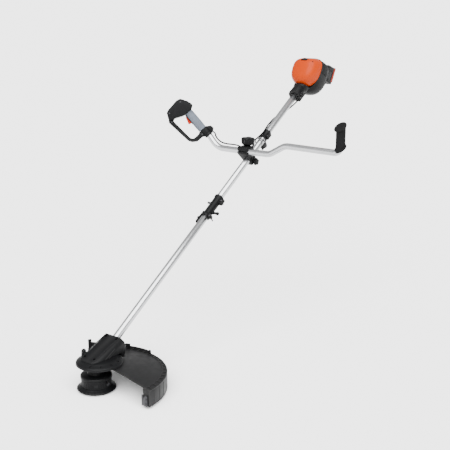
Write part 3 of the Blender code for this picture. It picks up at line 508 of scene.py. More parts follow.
def brushed(name, colour, roughness, attribute=None, streak=(520, 5, 520)):
    """Drawn metal: streaks along the tube, faint smears and tiny scratches."""
    look = Look(name, colour, roughness, 1.0)
    along = look.place(streak, attribute)
    streaks = look.noise(along, 1.0, 4, 0.6)
    here = look.place((1, 1, 1), attribute)
    smears = look.noise(here, 9, 5)
    look.set("Base Color", look.tint(streaks, shaded(colour, 0.9), shaded(colour, 1.06)))
    terms = {0: look.spread(streaks, -0.06, 0.06, 0.3, 0.7),
             1: look.spread(smears, roughness - 0.05, roughness + 0.08)}
    look.set("Roughness", look.node("ShaderNodeMath", 0, terms, operation="ADD"))
    look.set("Normal", look.bump(streaks, 0.08, 0.00002))
    return look.mat


def rubbery(name, colour, roughness=0.72):
    """Soft rubber: fine pebbling and dusty patches."""
    look = Look(name, colour, roughness, Specular_IOR_Level=0.08)
    here = look.place()
    pebbles = look.node("ShaderNodeTexVoronoi", "Distance", {"Vector": here, "Scale": 1100})
    dust = look.noise(here, 40, 5)
    look.set("Base Color", look.tint(dust, shaded(colour, 0.75), shaded(colour, 1.35)))
    look.set("Roughness", look.spread(dust, roughness - 0.08, roughness + 0.12))
    look.set("Normal", look.bump(pebbles, 0.4, 0.00008))
    return look.mat


def orange_gloss():
    """Painted-look cover: slight orange peel, and a warmer tone in its clouds."""
    look = Look("orange_cover", (0.27, 0.023, 0.0002), 0.36, Specular_IOR_Level=0.08)
    here = look.place()
    clouds = look.noise(here, 14, 3)
    look.set("Base Color", look.worn(look.tint(clouds, (0.255, 0.021, 0.0001), (0.285, 0.026, 0.0003)),
                                     (0.34, 0.045, 0.002), 0.3))
    look.set("Roughness", look.spread(look.noise(here, 130, 5), 0.28, 0.4, 0.25, 0.75))
    peel = look.bump(look.noise(here, 420, 2), 0.1, 0.00008)
    look.set("Normal", look.bump(look.noise(here, 2200, 1), 0.08, 0.00003, peel))
    return look.mat


def guard_plastic():
    """Tough dark sheet: fine grain, scuffs and paler rubbed edges."""
    look = Look("guard_sheet", (0.007, 0.007, 0.0073), 0.42, Specular_IOR_Level=0.1)
    here = look.place()
    scuffs = look.noise(here, 34, 6, 0.65)
    tinted = look.tint(look.noise(here, 16, 4), (0.006, 0.006, 0.0062), (0.0085, 0.0085, 0.0088))
    tinted = look.worn(tinted, (0.03, 0.03, 0.03), 0.35)
    look.set("Base Color", tinted)
    look.set("Roughness", look.spread(scuffs, 0.34, 0.5, 0.3, 0.7))
    look.set("Normal", look.bump(look.noise(here, 1300, 2), 0.25, 0.00004))
    return look.mat


BLACK = plastic("black_plastic", (0.0034, 0.0035, 0.0038), 0.4, wear=(0.02, 0.02, 0.02))
DARK_GREY = plastic("dark_grey_plastic", (0.0065, 0.0067, 0.0071), 0.42, wear=(0.03, 0.03, 0.03))
GLOSS_BLACK = plastic("satin_black_plastic", (0.0022, 0.0022, 0.0024), 0.3, grain=2200,
                      wear=(0.015, 0.015, 0.015))
GUARD = guard_plastic()
ORANGE = orange_gloss()
TRIGGER_RED = plastic("trigger_plastic", (0.24, 0.008, 0.0005), 0.36, grain=1800, wear=(0.32, 0.025, 0.004))
GREY_GRIP = plastic("soft_grey_grip", (0.09, 0.103, 0.124), 0.6, grain=1000, grain_depth=0.0001,
                    wear=(0.22, 0.24, 0.27))
SPOOL_GREY = plastic("spool_plastic", (0.24, 0.25, 0.27), 0.5)
BAND_RED = plastic("battery_band_plastic", (0.19, 0.018, 0.011), 0.42, wear=(0.28, 0.06, 0.04))
RUBBER = rubbery("black_rubber", (0.0036, 0.0036, 0.0038))
LEAD_SKIN = rubbery("lead_jacket", (0.0026, 0.0026, 0.0028), 0.5)
TUBE_METAL = brushed("anodised_tube", (0.42, 0.425, 0.435), 0.26)
BAR_METAL = brushed("anodised_bar", (0.42, 0.425, 0.435), 0.26, attribute="straight", streak=(520, 520, 5))
STEEL = brushed("ground_steel", (0.40, 0.40, 0.42), 0.33, streak=(60, 900, 900))
DARK_STEEL = brushed("blackened_steel", (0.045, 0.045, 0.048), 0.4, streak=(300, 300, 300))
CAST = brushed("cast_alloy", (0.45, 0.46, 0.47), 0.5, streak=(90, 90, 90))
COPPER = brushed("copper_wire", (0.72, 0.34, 0.15), 0.3, streak=(30, 2600, 30))
NYLON = plastic("nylon_line", (0.72, 0.26, 0.05), 0.35, grain=300)
BOARD = plastic("board_lacquer", (0.03, 0.17, 0.07), 0.4, grain=300)

INNER_LOOKS = {
    "gear_case": CAST, "bevel_gear": STEEL, "pinion_gear": STEEL, "spindle": STEEL,
    "spindle_bearing": STEEL, "pinion_bearing": STEEL, "lower_drive_shaft": STEEL,
    "upper_drive_shaft": STEEL, "drive_socket": STEEL, "rotor": STEEL, "motor_bearing": STEEL,
    "stator": COPPER, "controller_board": BOARD, "line_spool": SPOOL_GREY, "wound_line": NYLON,
    "bump_spring": STEEL, "trigger_switch": BLACK,
}


def dress_inner_nodes():
    """The hidden parts keep their CAD shapes and get real materials."""
    for name, look in INNER_LOOKS.items():
        node = frame["nodes"][name]
        node.data.materials.clear()
        node.data.materials.append(look)


# ---- cutting head -------------------------------------------------------------------------------------
def trimmer():
    body = "cutting_head"

    def grip_ribs(angle, radius, height):
        inside_band = -63.5 < height < -45.5 and radius > 49
        return radius - (1.1 if inside_band and round(angle / (2 * pi) * 180) % 6 == 0 else 0)

    housing = lathe([
        (5.3, -8), (13, -8), (24.5, -9), (27, -11.5), (27.6, -14), (27.6, -22), (29.5, -25), (40, -26.6),
        (47, -28.2), (51, -30.4), (52.6, -33.2), (52.6, -38), (51.6, -39.6), (50.4, -40.2), (50.0, -41.0),
        (50.0, -43.5), (50.6, -44.2), (50.6, -46), (50.4, -47), (50.4, -62), (50.6, -63), (50.2, -65.6),
        (47.2, -66), (47.2, -38), (8, -36), (8, -25), (5.3, -24)], 180, grip_ribs)
    windows = []
    for k in range(2):
        seat = rod(5.6, -8, 8, 32)
        seat.transform(Matrix.Rotation(pi * k, 4, "Z") @ shift(50, 0, -52) @ ALONG_X)
        windows.append(seat)
    for k in range(4):
        latch = soften(block((-7, 46, -62), (7, 60, -50)), 1.2, 2)
        latch.transform(Matrix.Rotation(radians(45 + 90 * k), 4, "Z"))
        windows.append(latch)
    housing = shaped(housing, cuts=windows)
    piece(housing, "trimmer_bowl", BLACK, body, HEAD, ["trimmer_housing"], 28)
    for k in range(4):
        tab = soften(block((-7.6, 44.8, -62.6), (7.6, 48.4, -49.4)), 0.8, 2)
        bar = soften(block((-4.6, 49.0, -57.4), (4.6, 50.4, -54.6)), 0.5, 2)
        tab = merged(tab, bar)
        tab.transform(Matrix.Rotation(radians(45 + 90 * k), 4, "Z"))
        piece(tab, "housing_latch_%d" % k, DARK_GREY, body, HEAD)

    def scallops(angle, radius, height):
        return radius - (0.55 * (1 + cos(24 * angle)) if radius > 60 else 0)

    base = lathe([
        (50.8, -66.4), (52.4, -67.2), (55, -69.6), (60.5, -72.6), (64.4, -74.6), (65.5, -76), (65.5, -78),
        (64.2, -79.2), (60, -79.8), (50, -80.4), (40, -81.5), (21, -81.8), (20.4, -80.8), (20.4, -78),
        (40, -76), (44, -66.4)], 192, scallops)
    piece(base, "trimmer_foot", BLACK, body, HEAD, ["trimmer_base"], 28)
    for name, turn in (("line_eyelet_a", 0), ("line_eyelet_b", pi)):
        eyelet = lathe([(5.2, 5), (5.4, 4.4), (4.6, 3.4), (4.4, -4.5), (1.9, -4.5), (1.9, 3), (2.6, 4.6),
                        (3.6, 5.2)], 40)
        place = HEAD @ Matrix.Rotation(turn, 4, "Z") @ shift(50 * MM, 0, -52 * MM) @ ALONG_X
        piece(eyelet, name + "_ring", DARK_STEEL, body, place, [name])

    def finger_grips(angle, radius, height):
        return radius - (0.7 * (1 + cos(9 * angle)) if radius > 14 and height < -71 else 0)

    knob = lathe([(0, -65.4), (5.2, -65.4), (5.2, -59.8), (5.4, -59.6), (5.8, -59.6), (6, -60), (6, -69.6),
                  (7, -70), (17.6, -70), (19, -71), (19.2, -72.5), (19.2, -79.4), (18.4, -81.6),
                  (16.6, -83.4), (15, -84), (0, -84)], 144, finger_grips)
    piece(knob, "bump_button", GLOSS_BLACK, "bump", HEAD, ["bump_knob"])


# ---- gear head and guard ------------------------------------------------------------------------------
def wedge_points():
    """Corner points of the sloping cover, in the head's frame."""
    slope = UP_SHAFT.angle(Vector((0, 1, 0)))
    points = [Vector((side * x, y, z)) for side in (-1, 1) for x, y, z in (
        (22, -47, 27.5), (28, -45, 26.6), (38, -28, 26.6), (45, 2, 26.6), (44, 32, 26.6), (34, 60, 26.6),
        (36, 100, 4))]
    for x, z in ((32, 16.5), (40, -4), (33, -28)):
        for side in (-1, 1):
            points.append(Vector((side * x, 115 * cos(slope) - z * sin(slope),
                                  115 * sin(slope) + z * cos(slope))))
    return points


def head_covers():
    """Two half shells over the gear case, with screw recesses, a ridge along each shoulder and flank ribs."""
    to_head = shaft_seen_from(HEAD)
    for name, side in (("head_cover_right", -1), ("head_cover_left", 1)):
        cover = soften(wrap(wedge_points()), 5.5, 4)
        recess = turned_by(rod(4.6, 6, 60), to_head @ shift(side * 24, 103, 0))
        front_recess = moved(rod(4.2, 27, 60), side * 21, -26, 3)
        cuts = [block((side * -150, -100, -5), (side * 0.2, 160, 150)), rod(25.6, -9, 30.6),
                moved(rod(79, -20, 26.5, 96), *FLANGE_AT),
                turned_by(rod(18.1, 5, 76.6), to_head @ ALONG_Y),
                turned_by(rod(TUBE_R + 0.4, 40, 160), to_head @ ALONG_Y), recess, front_recess]
        cover = shaped(cover, cuts=cuts)
        piece(cover, name + "_shell", BLACK, "lower_unit", HEAD, [name], 30)
        screw = lathe([(0, 1.6), (1.1, 1.6), (1.3, 3.0), (3.4, 2.9), (3.9, 2.0), (3.9, 0), (0, 0)], 40)
        place = spot(SHAFT, side * 24, 103, 6.6)
        piece(screw, name + "_screw", DARK_STEEL, "lower_unit", place)
        ridge = [Vector((side * 27.5, -39.5, 29.5)), Vector((side * 29.6, -10, 41.5)),
                 Vector((side * 30.6, 30, 58.2)), Vector((side * 31.3, 84, 77.0))]
        line = sweep(smooth_path(ridge, 8), 1.3, 12)
        piece(line, name + "_ridge", DARK_GREY, "lower_unit", HEAD)
        for k, (foot, top) in enumerate((((44.4, 0, 29), (39.2, 52, 50)), ((44.6, 18, 29), (38.0, 68, 50)),
                                         ((41.5, 40, 29), (36.8, 76, 46)))):
            rib = sweep([Vector((side * foot[0], *foot[1:])), Vector((side * top[0], *top[1:]))], 1.1, 10)
            piece(rib, "%s_rib_%d" % (name, k), DARK_GREY, "lower_unit", HEAD)


def side_boss():
    """The small lobe beside the cover that carries its clamp screw."""
    lobe = lathe([(0, 49), (3, 48.6), (6.4, 46.4), (8, 43), (8.4, 38), (9.4, 22), (0, 22)], 56)
    web = soften(block((0, -5, 22), (14, 5, 40)), 2, 3)
    lobe = shaped(lobe, joins=[web], cuts=[rod(3.1, 42, 60, 32)])
    moved(lobe, -46, -8, 0)
    piece(lobe, "cover_side_boss", BLACK, "lower_unit", HEAD)
    screw = lathe([(0, 43.4), (1.2, 43.4), (1.4, 44.8), (2.9, 44.7), (2.9, 41), (0, 41)], 32)
    piece(moved(screw, -46, -8, 0), "cover_side_screw", DARK_STEEL, "lower_unit", HEAD)


def arc(radius, height, first, last, count=60):
    angles = [first + (last - first) * k / count for k in range(count + 1)]
    return [Vector((radius * cos(a), radius * sin(a), height)) for a in angles]


def flange():
    ring = lathe([(54, 26.2), (56.6, 26), (58.6, 25.2), (60.4, 24), (67, 21.6), (74, 18.7), (77, 16.8),
                  (78, 15), (78, 10.4), (77.2, 9.2), (75.5, 9), (73, 13), (12, 13), (12, 26.2)], 144)
    place = spot(HEAD, *FLANGE_AT)
    slots = [moved(rod(26, 5, 35, 96), -FLANGE_AT[0], -FLANGE_AT[1])]
    for k in range(6):
        slot = moved(soften(block((-3.6, -4, -2), (3.6, 4, 6)), 2.2, 3), 0, 67.5, 20)
        slot.transform(Matrix.Rotation(radians(200 + 30 * k), 4, "Z"))
        slots.append(slot)
    slots.append(turned_by(rod(18.3, 2, 90), shaft_seen_from(place) @ ALONG_Y))
    piece(shaped(ring, cuts=slots), "flange_ring", BLACK, "lower_unit", place,
          ["guard_flange"], 30)
    piece(sweep(arc(77.4, 10.2, radians(150), radians(390), 120), 1.0, 10), "flange_lip", DARK_GREY,
          "lower_unit", place)


def guard_foot(angle):
    """Height of the skirt's lower edge: shallower towards the rear-left end."""
    share = min(1, max(0, (angle - radians(92)) / radians(16)))
    return -76 + 28 * share * share * (3 - 2 * share)


def guard_top(radius):
    """Height of the sheet's upper face: a shallow dome that falls to the rim."""
    share = (radius - 45) / (GUARD_R - 45)
    return 8 if share <= 0 else 8 - 26 * share ** 1.2


def guard_part(bm, name, angle=0.0, look=None):
    bm.transform(Matrix.Rotation(angle, 4, "Z"))
    piece(bm, name, look or GUARD, "lower_unit", GUARD_PLACE)


def guard():
    """A thin moulded sheet with a deep skirt, a rolled rim, gussets in the crease and a raised rear wall."""
    across = [6, 20, 34, 45] + [54 + 9 * k for k in range(17)] + [203, 208, 211]
    rows = []
    steps = 75
    for i in range(steps + 1):
        angle = GUARD_FROM + (GUARD_TO - GUARD_FROM) * i / steps
        profile = [(r, guard_top(r)) for r in across]
        profile += [(GUARD_R, guard_top(GUARD_R) - 3), (GUARD_R, -40), (GUARD_R, guard_foot(angle) + 2),
                    (GUARD_R - 0.4, guard_foot(angle))]
        rows.append([Vector((r * cos(angle), r * sin(angle), z)) for r, z in profile])
    collar_hole = turned_by(rod(18.3, 2, 80), shaft_seen_from(GUARD_PLACE) @ ALONG_Y)
    dome = shaped(walled(sheet(rows), 2.6), cuts=[collar_hole, moved(rod(36, -30, 30, 96), -GUARD_X)])
    piece(dome, "guard_sheet", GUARD, "lower_unit", GUARD_PLACE, ["guard"], 35)

    rim_z = guard_top(GUARD_R)
    bead = arc(GUARD_R - 1.6, rim_z - 1.2, GUARD_FROM, GUARD_TO, 90)
    guard_part(sweep(bead, 2.8, 14), "guard_rim_bead")
    ridge = arc(GUARD_R - 14, guard_top(GUARD_R - 14) + 0.4, GUARD_FROM, radians(84))
    guard_part(sweep(ridge, 1.4, 10, 1.6), "guard_inner_ridge")
    for k in range(12):
        gusset = soften(wrap([Vector((r, y, z)) for y in (-1.6, 1.6) for r, z in (
            (GUARD_R - 15, guard_top(GUARD_R - 15) - 1), (GUARD_R - 15, guard_top(GUARD_R - 15) + 2.2),
            (GUARD_R - 1, rim_z + 3.0), (GUARD_R - 1, rim_z - 2))]), 0.5, 2)
        guard_part(gusset, "guard_gusset_%02d" % k, GUARD_FROM + radians(4 + 7 * k))
    for k in range(10):
        rib = soften(block((GUARD_R - 0.4, -1.4, -72), (GUARD_R + 0.8, 1.4, -24)), 0.5, 2)
        guard_part(rib, "guard_skirt_rib_%02d" % k, GUARD_FROM + radians(7 + 8.5 * k))
    guard_part(sweep(arc(GUARD_R - 1.2, -74.6, GUARD_FROM, radians(90)), 1.6, 10), "guard_foot_bead")
    rear_wall()
    front_edge()


def rear_wall():
    """Raised wall along the rear rim, between a low post and a tall one."""
    first, last = radians(83), radians(148)
    rows = []
    for k in range(61):
        angle = first + (last - first) * k / 60
        c, s = cos(angle), sin(angle)
        rise = min(1, max(0, (angle - radians(108)) / radians(38)))
        top = -8 + 14 * rise * rise
        rows.append([(r * c, r * s, z) for r, z in (
            (GUARD_R - 0.2, -20), (GUARD_R - 0.2, top - 1.2), (GUARD_R - 1.0, top), (GUARD_R - 2.8, top),
            (GUARD_R - 3.6, top - 1.2), (GUARD_R - 3.6, -20))])
    guard_part(loft(rows, cap_first=True, cap_last=True), "guard_rear_wall")
    for k, (at, half, top) in enumerate(((84, 3, -4), (110, 9, 0), (147, 6, 17))):
        post = soften(block((GUARD_R - 8, -half, -22), (GUARD_R - 0.2, half, top)), 1.6, 3)
        guard_part(post, "guard_rear_post_%d" % k, radians(at), BLACK)
    for k in range(8):
        brace = soften(wrap([Vector((r, y, z)) for y in (-1.2, 1.2) for r, z in (
            (GUARD_R - 24, guard_top(GUARD_R - 24) - 1), (GUARD_R - 3, -18), (GUARD_R - 3, -9))]), 0.4, 2)
        guard_part(brace, "guard_rear_brace_%d" % k, radians(89 + 7 * k))


def front_edge():
    """Thickened front edge of the sheet, and the plate and steel blade that trim the line."""
    c, s = cos(GUARD_FROM), sin(GUARD_FROM)
    edge = [Vector((r * c, r * s + 0.6, guard_top(r) - 1.2)) for r in range(22, 209, 12)]
    guard_part(sweep(edge, 2.0, 12), "guard_front_lip")
    across = Matrix.Rotation(GUARD_FROM - radians(1.0), 4, "Z")
    outline = fillet([(GUARD_R - 29, -75), (GUARD_R - 4, -75), (GUARD_R - 4, -38), (GUARD_R - 14, -38),
                      (GUARD_R - 16, -46), (GUARD_R - 22, -46), (GUARD_R - 24, -38), (GUARD_R - 29, -38)],
                     [2, 2, 1.5, 2, 3, 3, 2, 1.5])
    blade = soften(prism(outline, 0, 2.0), 0.35, 2)
    blade.transform(across @ FACING_Y)
    piece(blade, "line_blade", DARK_STEEL, "lower_unit", GUARD_PLACE, ["line_cutter"])
    for k, height in enumerate((-66, -50)):
        screw = lathe([(0, 1.2), (1.4, 1.2), (1.6, 2.4), (3.2, 2.2), (3.6, 1.2), (3.6, 0), (0, 0)], 36)
        screw.transform(across @ shift(GUARD_R - 9.5, -2.0, height) @ FACING_Y)
        piece(screw, "line_blade_screw_%d" % k, DARK_STEEL, "lower_unit", GUARD_PLACE)
    plate = soften(block((GUARD_R - 27, -0.6, -74), (GUARD_R - 1, 2.6, -19)), 0.8, 3)
    guard_part(plate, "guard_front_plate", GUARD_FROM)


# ---- shaft --------------------------------------------------------------------------------------------
def tubes():
    inner = TUBE_R - 1.5
    for name, body, low, high in (("lower_tube", "lower_unit", 38, 757),
                                  ("upper_tube", "upper_unit", 761, 1462)):
        tube = lathe([(TUBE_R - 0.4, high), (TUBE_R, high - 0.5), (TUBE_R, low + 0.5), (TUBE_R - 0.4, low),
                      (inner, low), (inner, high)], 72)
        tube.transform(ALONG_Y)
        piece(tube, name + "_skin", TUBE_METAL, body, SHAFT, [name], 40)


def coupler():
    low, high = COUPLER_LOW, COUPLER_HIGH
    body = "upper_unit"
    sleeve = lathe([
        (0, high), (17.4, high), (18.5, high - 1.2), (18.5, high - 8), (17.6, high - 10), (16.2, high - 14),
        (16, high - 18), (16, low + 16), (16.3, low + 12), (17.6, low + 9), (18, low + 7), (18, low + 1),
        (17, low), (0, low)], 96)
    sleeve.transform(ALONG_Y)
    knob_at = shift(0, low + 26, 0) @ ALONG_X
    pin_at = shift(0, low + 70, 0) @ ALONG_MINUS_X
    joins = [soften(block((-3.4, low + 2, 13), (3.4, high - 2, 19)), 1.6, 3),
             turned_by(lathe([(0, 23), (5.8, 23), (6.6, 22), (6.6, 14), (0, 14)], 40), knob_at),
             turned_by(lathe([(0, 21), (4.8, 21), (5.6, 20), (5.6, 14), (0, 14)], 40), pin_at),
             soften(block((12, low, -8), (26, low + 12, 8)), 2.2, 3),
             soften(block((12, low + 72, -8), (29, low + 97, 8)), 2.2, 3)]
    bolts = (("lower", 21, low + 6, -23), ("upper", 23.5, low + 84, -12))
    clamping = [moved(rod(2.9, -30, 20, 32), x, station) for _, x, station, _ in bolts]
    clamping += [block((12, low + foot, -0.9), (31, low + top, 0.9)) for foot, top in ((-5, 13), (71, 98))]
    radial = [turned_by(rod(3.3, 12, 30, 32), knob_at), turned_by(rod(3.3, 12, 30, 32), pin_at)]
    sleeve = shaped(sleeve, joins, [turned_by(rod(13.25, low - 5, high + 5, 90), ALONG_Y)])
    sleeve = shaped(sleeve, cuts=clamping)
    piece(shaped(sleeve, cuts=radial), "coupler_body", BLACK, body, SHAFT,
          ["coupler_sleeve"], 30)
    for name, x, station, foot in bolts:
        bolt = lathe([(0, 10), (2.2, 10), (2.4, 13), (4.3, 13), (5, 12.2), (5, 8.6), (2.4, 8.5),
                      (2.4, foot), (0, foot)], 36)
        nut = lathe([(0, -8.4), (4.4, -8.4), (4.4, -11.4), (3.8, -12), (0, -12)], 6)
        place = spot(SHAFT, x, station, 0)
        piece(merged(bolt, nut), "coupler_screw_" + name, DARK_STEEL, body, place,
              ["coupler_bolt_" + name])

    def knurl(angle, radius, height):
        return radius * (0.94 + 0.06 * abs(cos(5 * angle))) if radius > 5 else radius

    knob = lathe([(0, 46), (3, 45.9), (5, 45.4), (6, 44.4), (6.3, 43), (6.3, 38.6), (5.8, 36.4), (4.9, 35),
                  (4.6, 33), (4.6, 23.6), (3, 23.4), (3, 13.8), (0, 13.8)], 120, knurl)
    piece(knob, "coupler_hand_screw", BLACK, "coupler_screw",
          spot(SHAFT, 0, low + 26) @ ALONG_X, ["coupler_knob"])
    pin = lathe([(0, 33), (3, 32.8), (4.2, 32), (4.5, 30.8), (4.5, 27.4), (3, 26), (3, 13.8), (0, 13.8)], 48)
    place = spot(SHAFT, 0, low + 70) @ ALONG_MINUS_X
    piece(pin, "coupler_stop_pin", DARK_STEEL, "lock_pin", place, ["coupler_lock_pin"])
    lever = fillet([(-2, 8), (1.8, 8), (2, -14), (4.5, -48), (1, -52), (-3, -46), (-4, -30), (-8, -28.5),
                    (-8, -24), (-3, -20)], [1.5, 1.5, 4, 1.2, 1.2, 2, 1, 1.4, 1.4, 3])
    lever = soften(prism(lever, -6, 6), 1.0, 3, where=level)
    place = spot(SHAFT, -20.5, low + 16, 0)
    piece(lever, "coupler_catch", BLACK, "release_lever", place, ["coupler_lever"])


def harness_point():
    """Clamp on the tube with a bolted ear and a lug in front, which holds the loop round the tube."""
    low, high = HARNESS_AT - 21, HARNESS_AT + 21
    eye = SHAFT.inverted() @ joint_at("carry_ring_swing") / MM
    sleeve = turned_by(lathe([(15.6, high), (16.5, high - 1.2), (16.5, high - 5), (15.9, high - 6.4),
                              (15.9, low + 6.4), (16.5, low + 5), (16.5, low + 1.2), (15.6, low), (13.2, low),
                              (13.2, high)], 96), ALONG_Y)
    lug = soften(block((-3, eye.y - 8, eye.z - 6), (3, low + 8, -14)), 1.4, 3)
    ear = soften(block((12, HARNESS_AT - 14, -9), (21, HARNESS_AT + 14, 9)), 2.4, 3)
    cuts = [turned_by(rod(3.4, -10, 10, 40), Matrix.Translation(eye) @ ALONG_X),
            block((12, HARNESS_AT - 30, -0.8), (30, HARNESS_AT + 30, 0.8)),
            turned_by(rod(13.2, low - 50, high + 5, 96), ALONG_Y)]
    piece(shaped(sleeve, [lug, ear], cuts), "harness_bracket", BLACK, "upper_unit", SHAFT,
          ["harness_clamp"], 30)
    for k, station in enumerate((HARNESS_AT - 8, HARNESS_AT + 8)):
        screw = lathe([(0, 9.6), (1.6, 9.6), (1.8, 11.4), (2.9, 11.4), (3.2, 10.6), (3.2, 8.6), (0, 8.6)], 32)
        piece(moved(screw, 17.4, station), "harness_screw_%d" % k, DARK_STEEL, "upper_unit", SHAFT)
    wire = lathe([(LOOP_R + 2.5 * cos(t), 2.5 * sin(t)) for t in (-2 * pi * j / 20 for j in range(20))], 96)
    place = spot(SHAFT, *eye + Vector((0, 0, LOOP_R))) @ ALONG_Y
    piece(wire, "harness_loop", DARK_STEEL, "carry_ring", place, ["harness_ring"])


# ---- handlebar clamp and handlebar --------------------------------------------------------------------
def bar_clamp():
    body = "upper_unit"
    front, rear = CLAMP_AT - 12, CLAMP_AT + 32
    to_bar = shaft_seen_from(BAR)

    def tube_bore():
        return turned_by(rod(TUBE_R + 0.3, front - 60, rear + 60, 96), to_bar @ ALONG_Y)

    def bar_bore():
        return turned_by(rod(BAR_R + 0.3, -60, 60, 96), ALONG_X)

    def stud_hole():
        return moved(rod(3.8, -11, 40, 40), 0, 20, 0)

    feet = [to_bar @ Vector((side * 17, y, z)) for side in (-1, 1) for y in (front, rear) for z in (0.3, 14)]
    seat = [Vector((side * 24, y, z)) for side in (-1, 1) for y, z in (
        (-19, -0.3), (28, -0.3), (-18, -7), (-11, -15))]
    base = shaped(soften(wrap(feet + seat), 2.6, 4, 20), cuts=[tube_bore(), bar_bore(), stud_hole()])
    piece(base, "clamp_saddle", BLACK, body, BAR, ["clamp_base"], 30)
    cap = soften(block((-24, -19, 0.3), (24, 29, 19)), 6, 6)
    ribs = [soften(block((x - 1.5, -19.3, 3), (x + 1.5, 4, 19.4)), 0.7, 2) for x in (-15, 15)]
    cap = shaped(cap, ribs, [bar_bore(), stud_hole()])
    piece(cap, "clamp_bridge", BLACK, body, BAR, ["clamp_cap"], 30)
    lower = soften(block((-17, front + 4, -26), (17, rear - 4, -0.3)), 4, 4)
    pads = [soften(block((x - 1.8, front + 8, -26.6), (x + 1.8, rear - 8, -18)), 0.8, 2) for x in (-9, 0, 9)]
    bore = turned_by(rod(TUBE_R + 0.3, front - 40, rear + 60, 96), ALONG_Y)
    screw_at = shift(0, CLAMP_AT + 10, -20) @ ALONG_X
    lower = shaped(lower, pads, [bore, turned_by(rod(3.3, -40, 40, 40), screw_at)])
    piece(lower, "clamp_keeper", BLACK, body, SHAFT, ["clamp_lower"], 30)

    def clover(angle, radius, height):
        share = min(1, max(0, (height - 25) / 8))
        flute = ((1 - cos(4 * angle)) / 2) ** 1.6
        return radius * (1 - 0.3 * share * flute) if radius > 8 else radius

    knob = lathe([(0, 50), (6, 50.2), (12, 50.8), (18, 51.3), (21.6, 51), (24.2, 49.6), (25.8, 47),
                  (26, 43), (25.6, 36), (24.8, 30), (23, 26), (19, 22.8), (14, 20.6), (11, 19.6), (3.6, 19.4),
                  (3.6, -8), (0, -8)], 192, clover)
    place = spot(BAR, 0, 20) @ Matrix.Rotation(radians(20), 4, "Z")
    piece(knob, "clamp_hand_knob", BLACK, "bar_knob", place, ["clamp_knob"])
    button = lathe([(0, 51.4), (5.4, 51.2), (6, 50.6), (6, 49), (0, 49)], 40)
    piece(button, "clamp_knob_plug", DARK_GREY, "bar_knob", place)

    def star(angle, radius, height):
        return radius * (0.82 + 0.18 * max(0, cos(5 * angle)) ** 0.6) if radius > 8.5 else radius

    knob = lathe([(0, 32), (5, 32), (9, 31.6), (12.6, 30.8), (14.6, 29), (15, 27), (15, 23.4), (13.4, 21),
                  (10, 18.8), (8, 17.6), (3, 17.4), (3, -14), (0, -14)], 120, star)
    place = spot(SHAFT, 0, CLAMP_AT + 10, -20) @ ALONG_X
    piece(knob, "tube_clamp_star", BLACK, "tube_knob", place, ["tube_clamp_knob"])


BAR_CORNERS = [(-132, 0), (115, 0), (185, 40), (420, 38)]
BAR_FILLETS = [68, 60, 60, 24]
GRIP_X = BAR_CORNERS[-1][0]
GRIP_R = 17.6
CAP_TILT = Euler((radians(37), radians(-14.5), 0))    # the left grip's end is cut off at a slant


def bar_path():
    corners = [(x, 0, z) for x, z in BAR_CORNERS]
    return bent_path(corners, BAR_FILLETS, BAR_LEFT_END, (GRIP_X, 0, 112))


def handlebar():
    body = "bar_unit"
    path = bar_path()
    tip = path[0] + GRIP_UP * 24
    piece(sweep([tip, *path], BAR_R, 56), "bar_tube", BAR_METAL, body, BAR, ["handlebar"], 60)

    def ribs(angle, radius, height):
        inside = 72 < height < 140 and radius > 17
        return radius - (0.5 * (1 - cos(16 * angle)) / 2 if inside else 0)

    tilt = CAP_TILT.to_matrix().to_4x4()
    slant = shift(-1, 0, 130) @ tilt
    grip = lathe([(0, 150), (GRIP_R, 150), (GRIP_R, 132), (GRIP_R, 110), (17.5, 90), (GRIP_R, 74),
                  (GRIP_R, 70), (GRIP_R, 40), (12.4, 40), (12.4, 112.4), (0, 112.4)],
                 192, ribs)
    foot = shift(0, 0, 58) @ tilt
    flange = turned_by(lathe([(0, 3), (20, 3), (22.3, 2.2), (23.4, 0.8), (23.4, -2), (22.6, -3), (0, -3)],
                             96), foot)
    bar_room = sweep([at - Vector((GRIP_X, 0, 0)) for at in path[-40:]], BAR_R + 0.4, 56)
    below = turned_by(block((-60, -60, -60), (60, 60, -2.9)), foot)
    room = turned_by(block((-60, -60, -0.3), (60, 60, 60)), slant)
    place = spot(BAR, GRIP_X)
    grip = shaped(shaped(grip, [flange]), cuts=[room, below, bar_room])
    piece(grip, "bar_grip", RUBBER, body, place, ["left_grip"], 40)
    cap = lathe([(0, 8), (9, 7.9), (16, 7.6), (20, 6.9), (23.2, 5.8), (24.8, 4.4), (25, 3.2), (24.4, 1.4),
                 (23, 0.3), (20, 0), (0, 0)], 96)
    piece(turned_by(cap, slant), "bar_grip_cap", RUBBER, body, place, ["grip_cap"], 40)


# ---- throttle handle ----------------------------------------------------------------------------------
HEAD_OUTLINE = [(-26, 130), (-25, 143), (-12, 170), (-4, 181), (12, 185), (60, 178), (72, 173), (84, 148),
                (66, 134), (61, 136), (28, 121.5), (-13, 121.5)]
HEAD_ROUNDS = [5, 6, 8, 5, 8, 6, 5, 8, 3, 3, 6, 5]
LOOP_OUTLINE = [(84, 148), (90, 138), (78, 36), (70, 22), (52, 10), (24, 10), (6, 0), (-18, 0), (-32, 8),
                (-30, 24), (-14, 33), (-7, 34), (-7, 126), (2, 126), (2, 34), (24, 33), (28, 29), (48, 28),
                (58, 29), (65, 40), (72, 130), (60, 142)]
LOOP_ROUNDS = [0, 8, 14, 12, 12, 6, 8, 8, 8, 8, 2, 0, 0, 0, 0, 1, 3, 4, 8, 10, 6, 0]


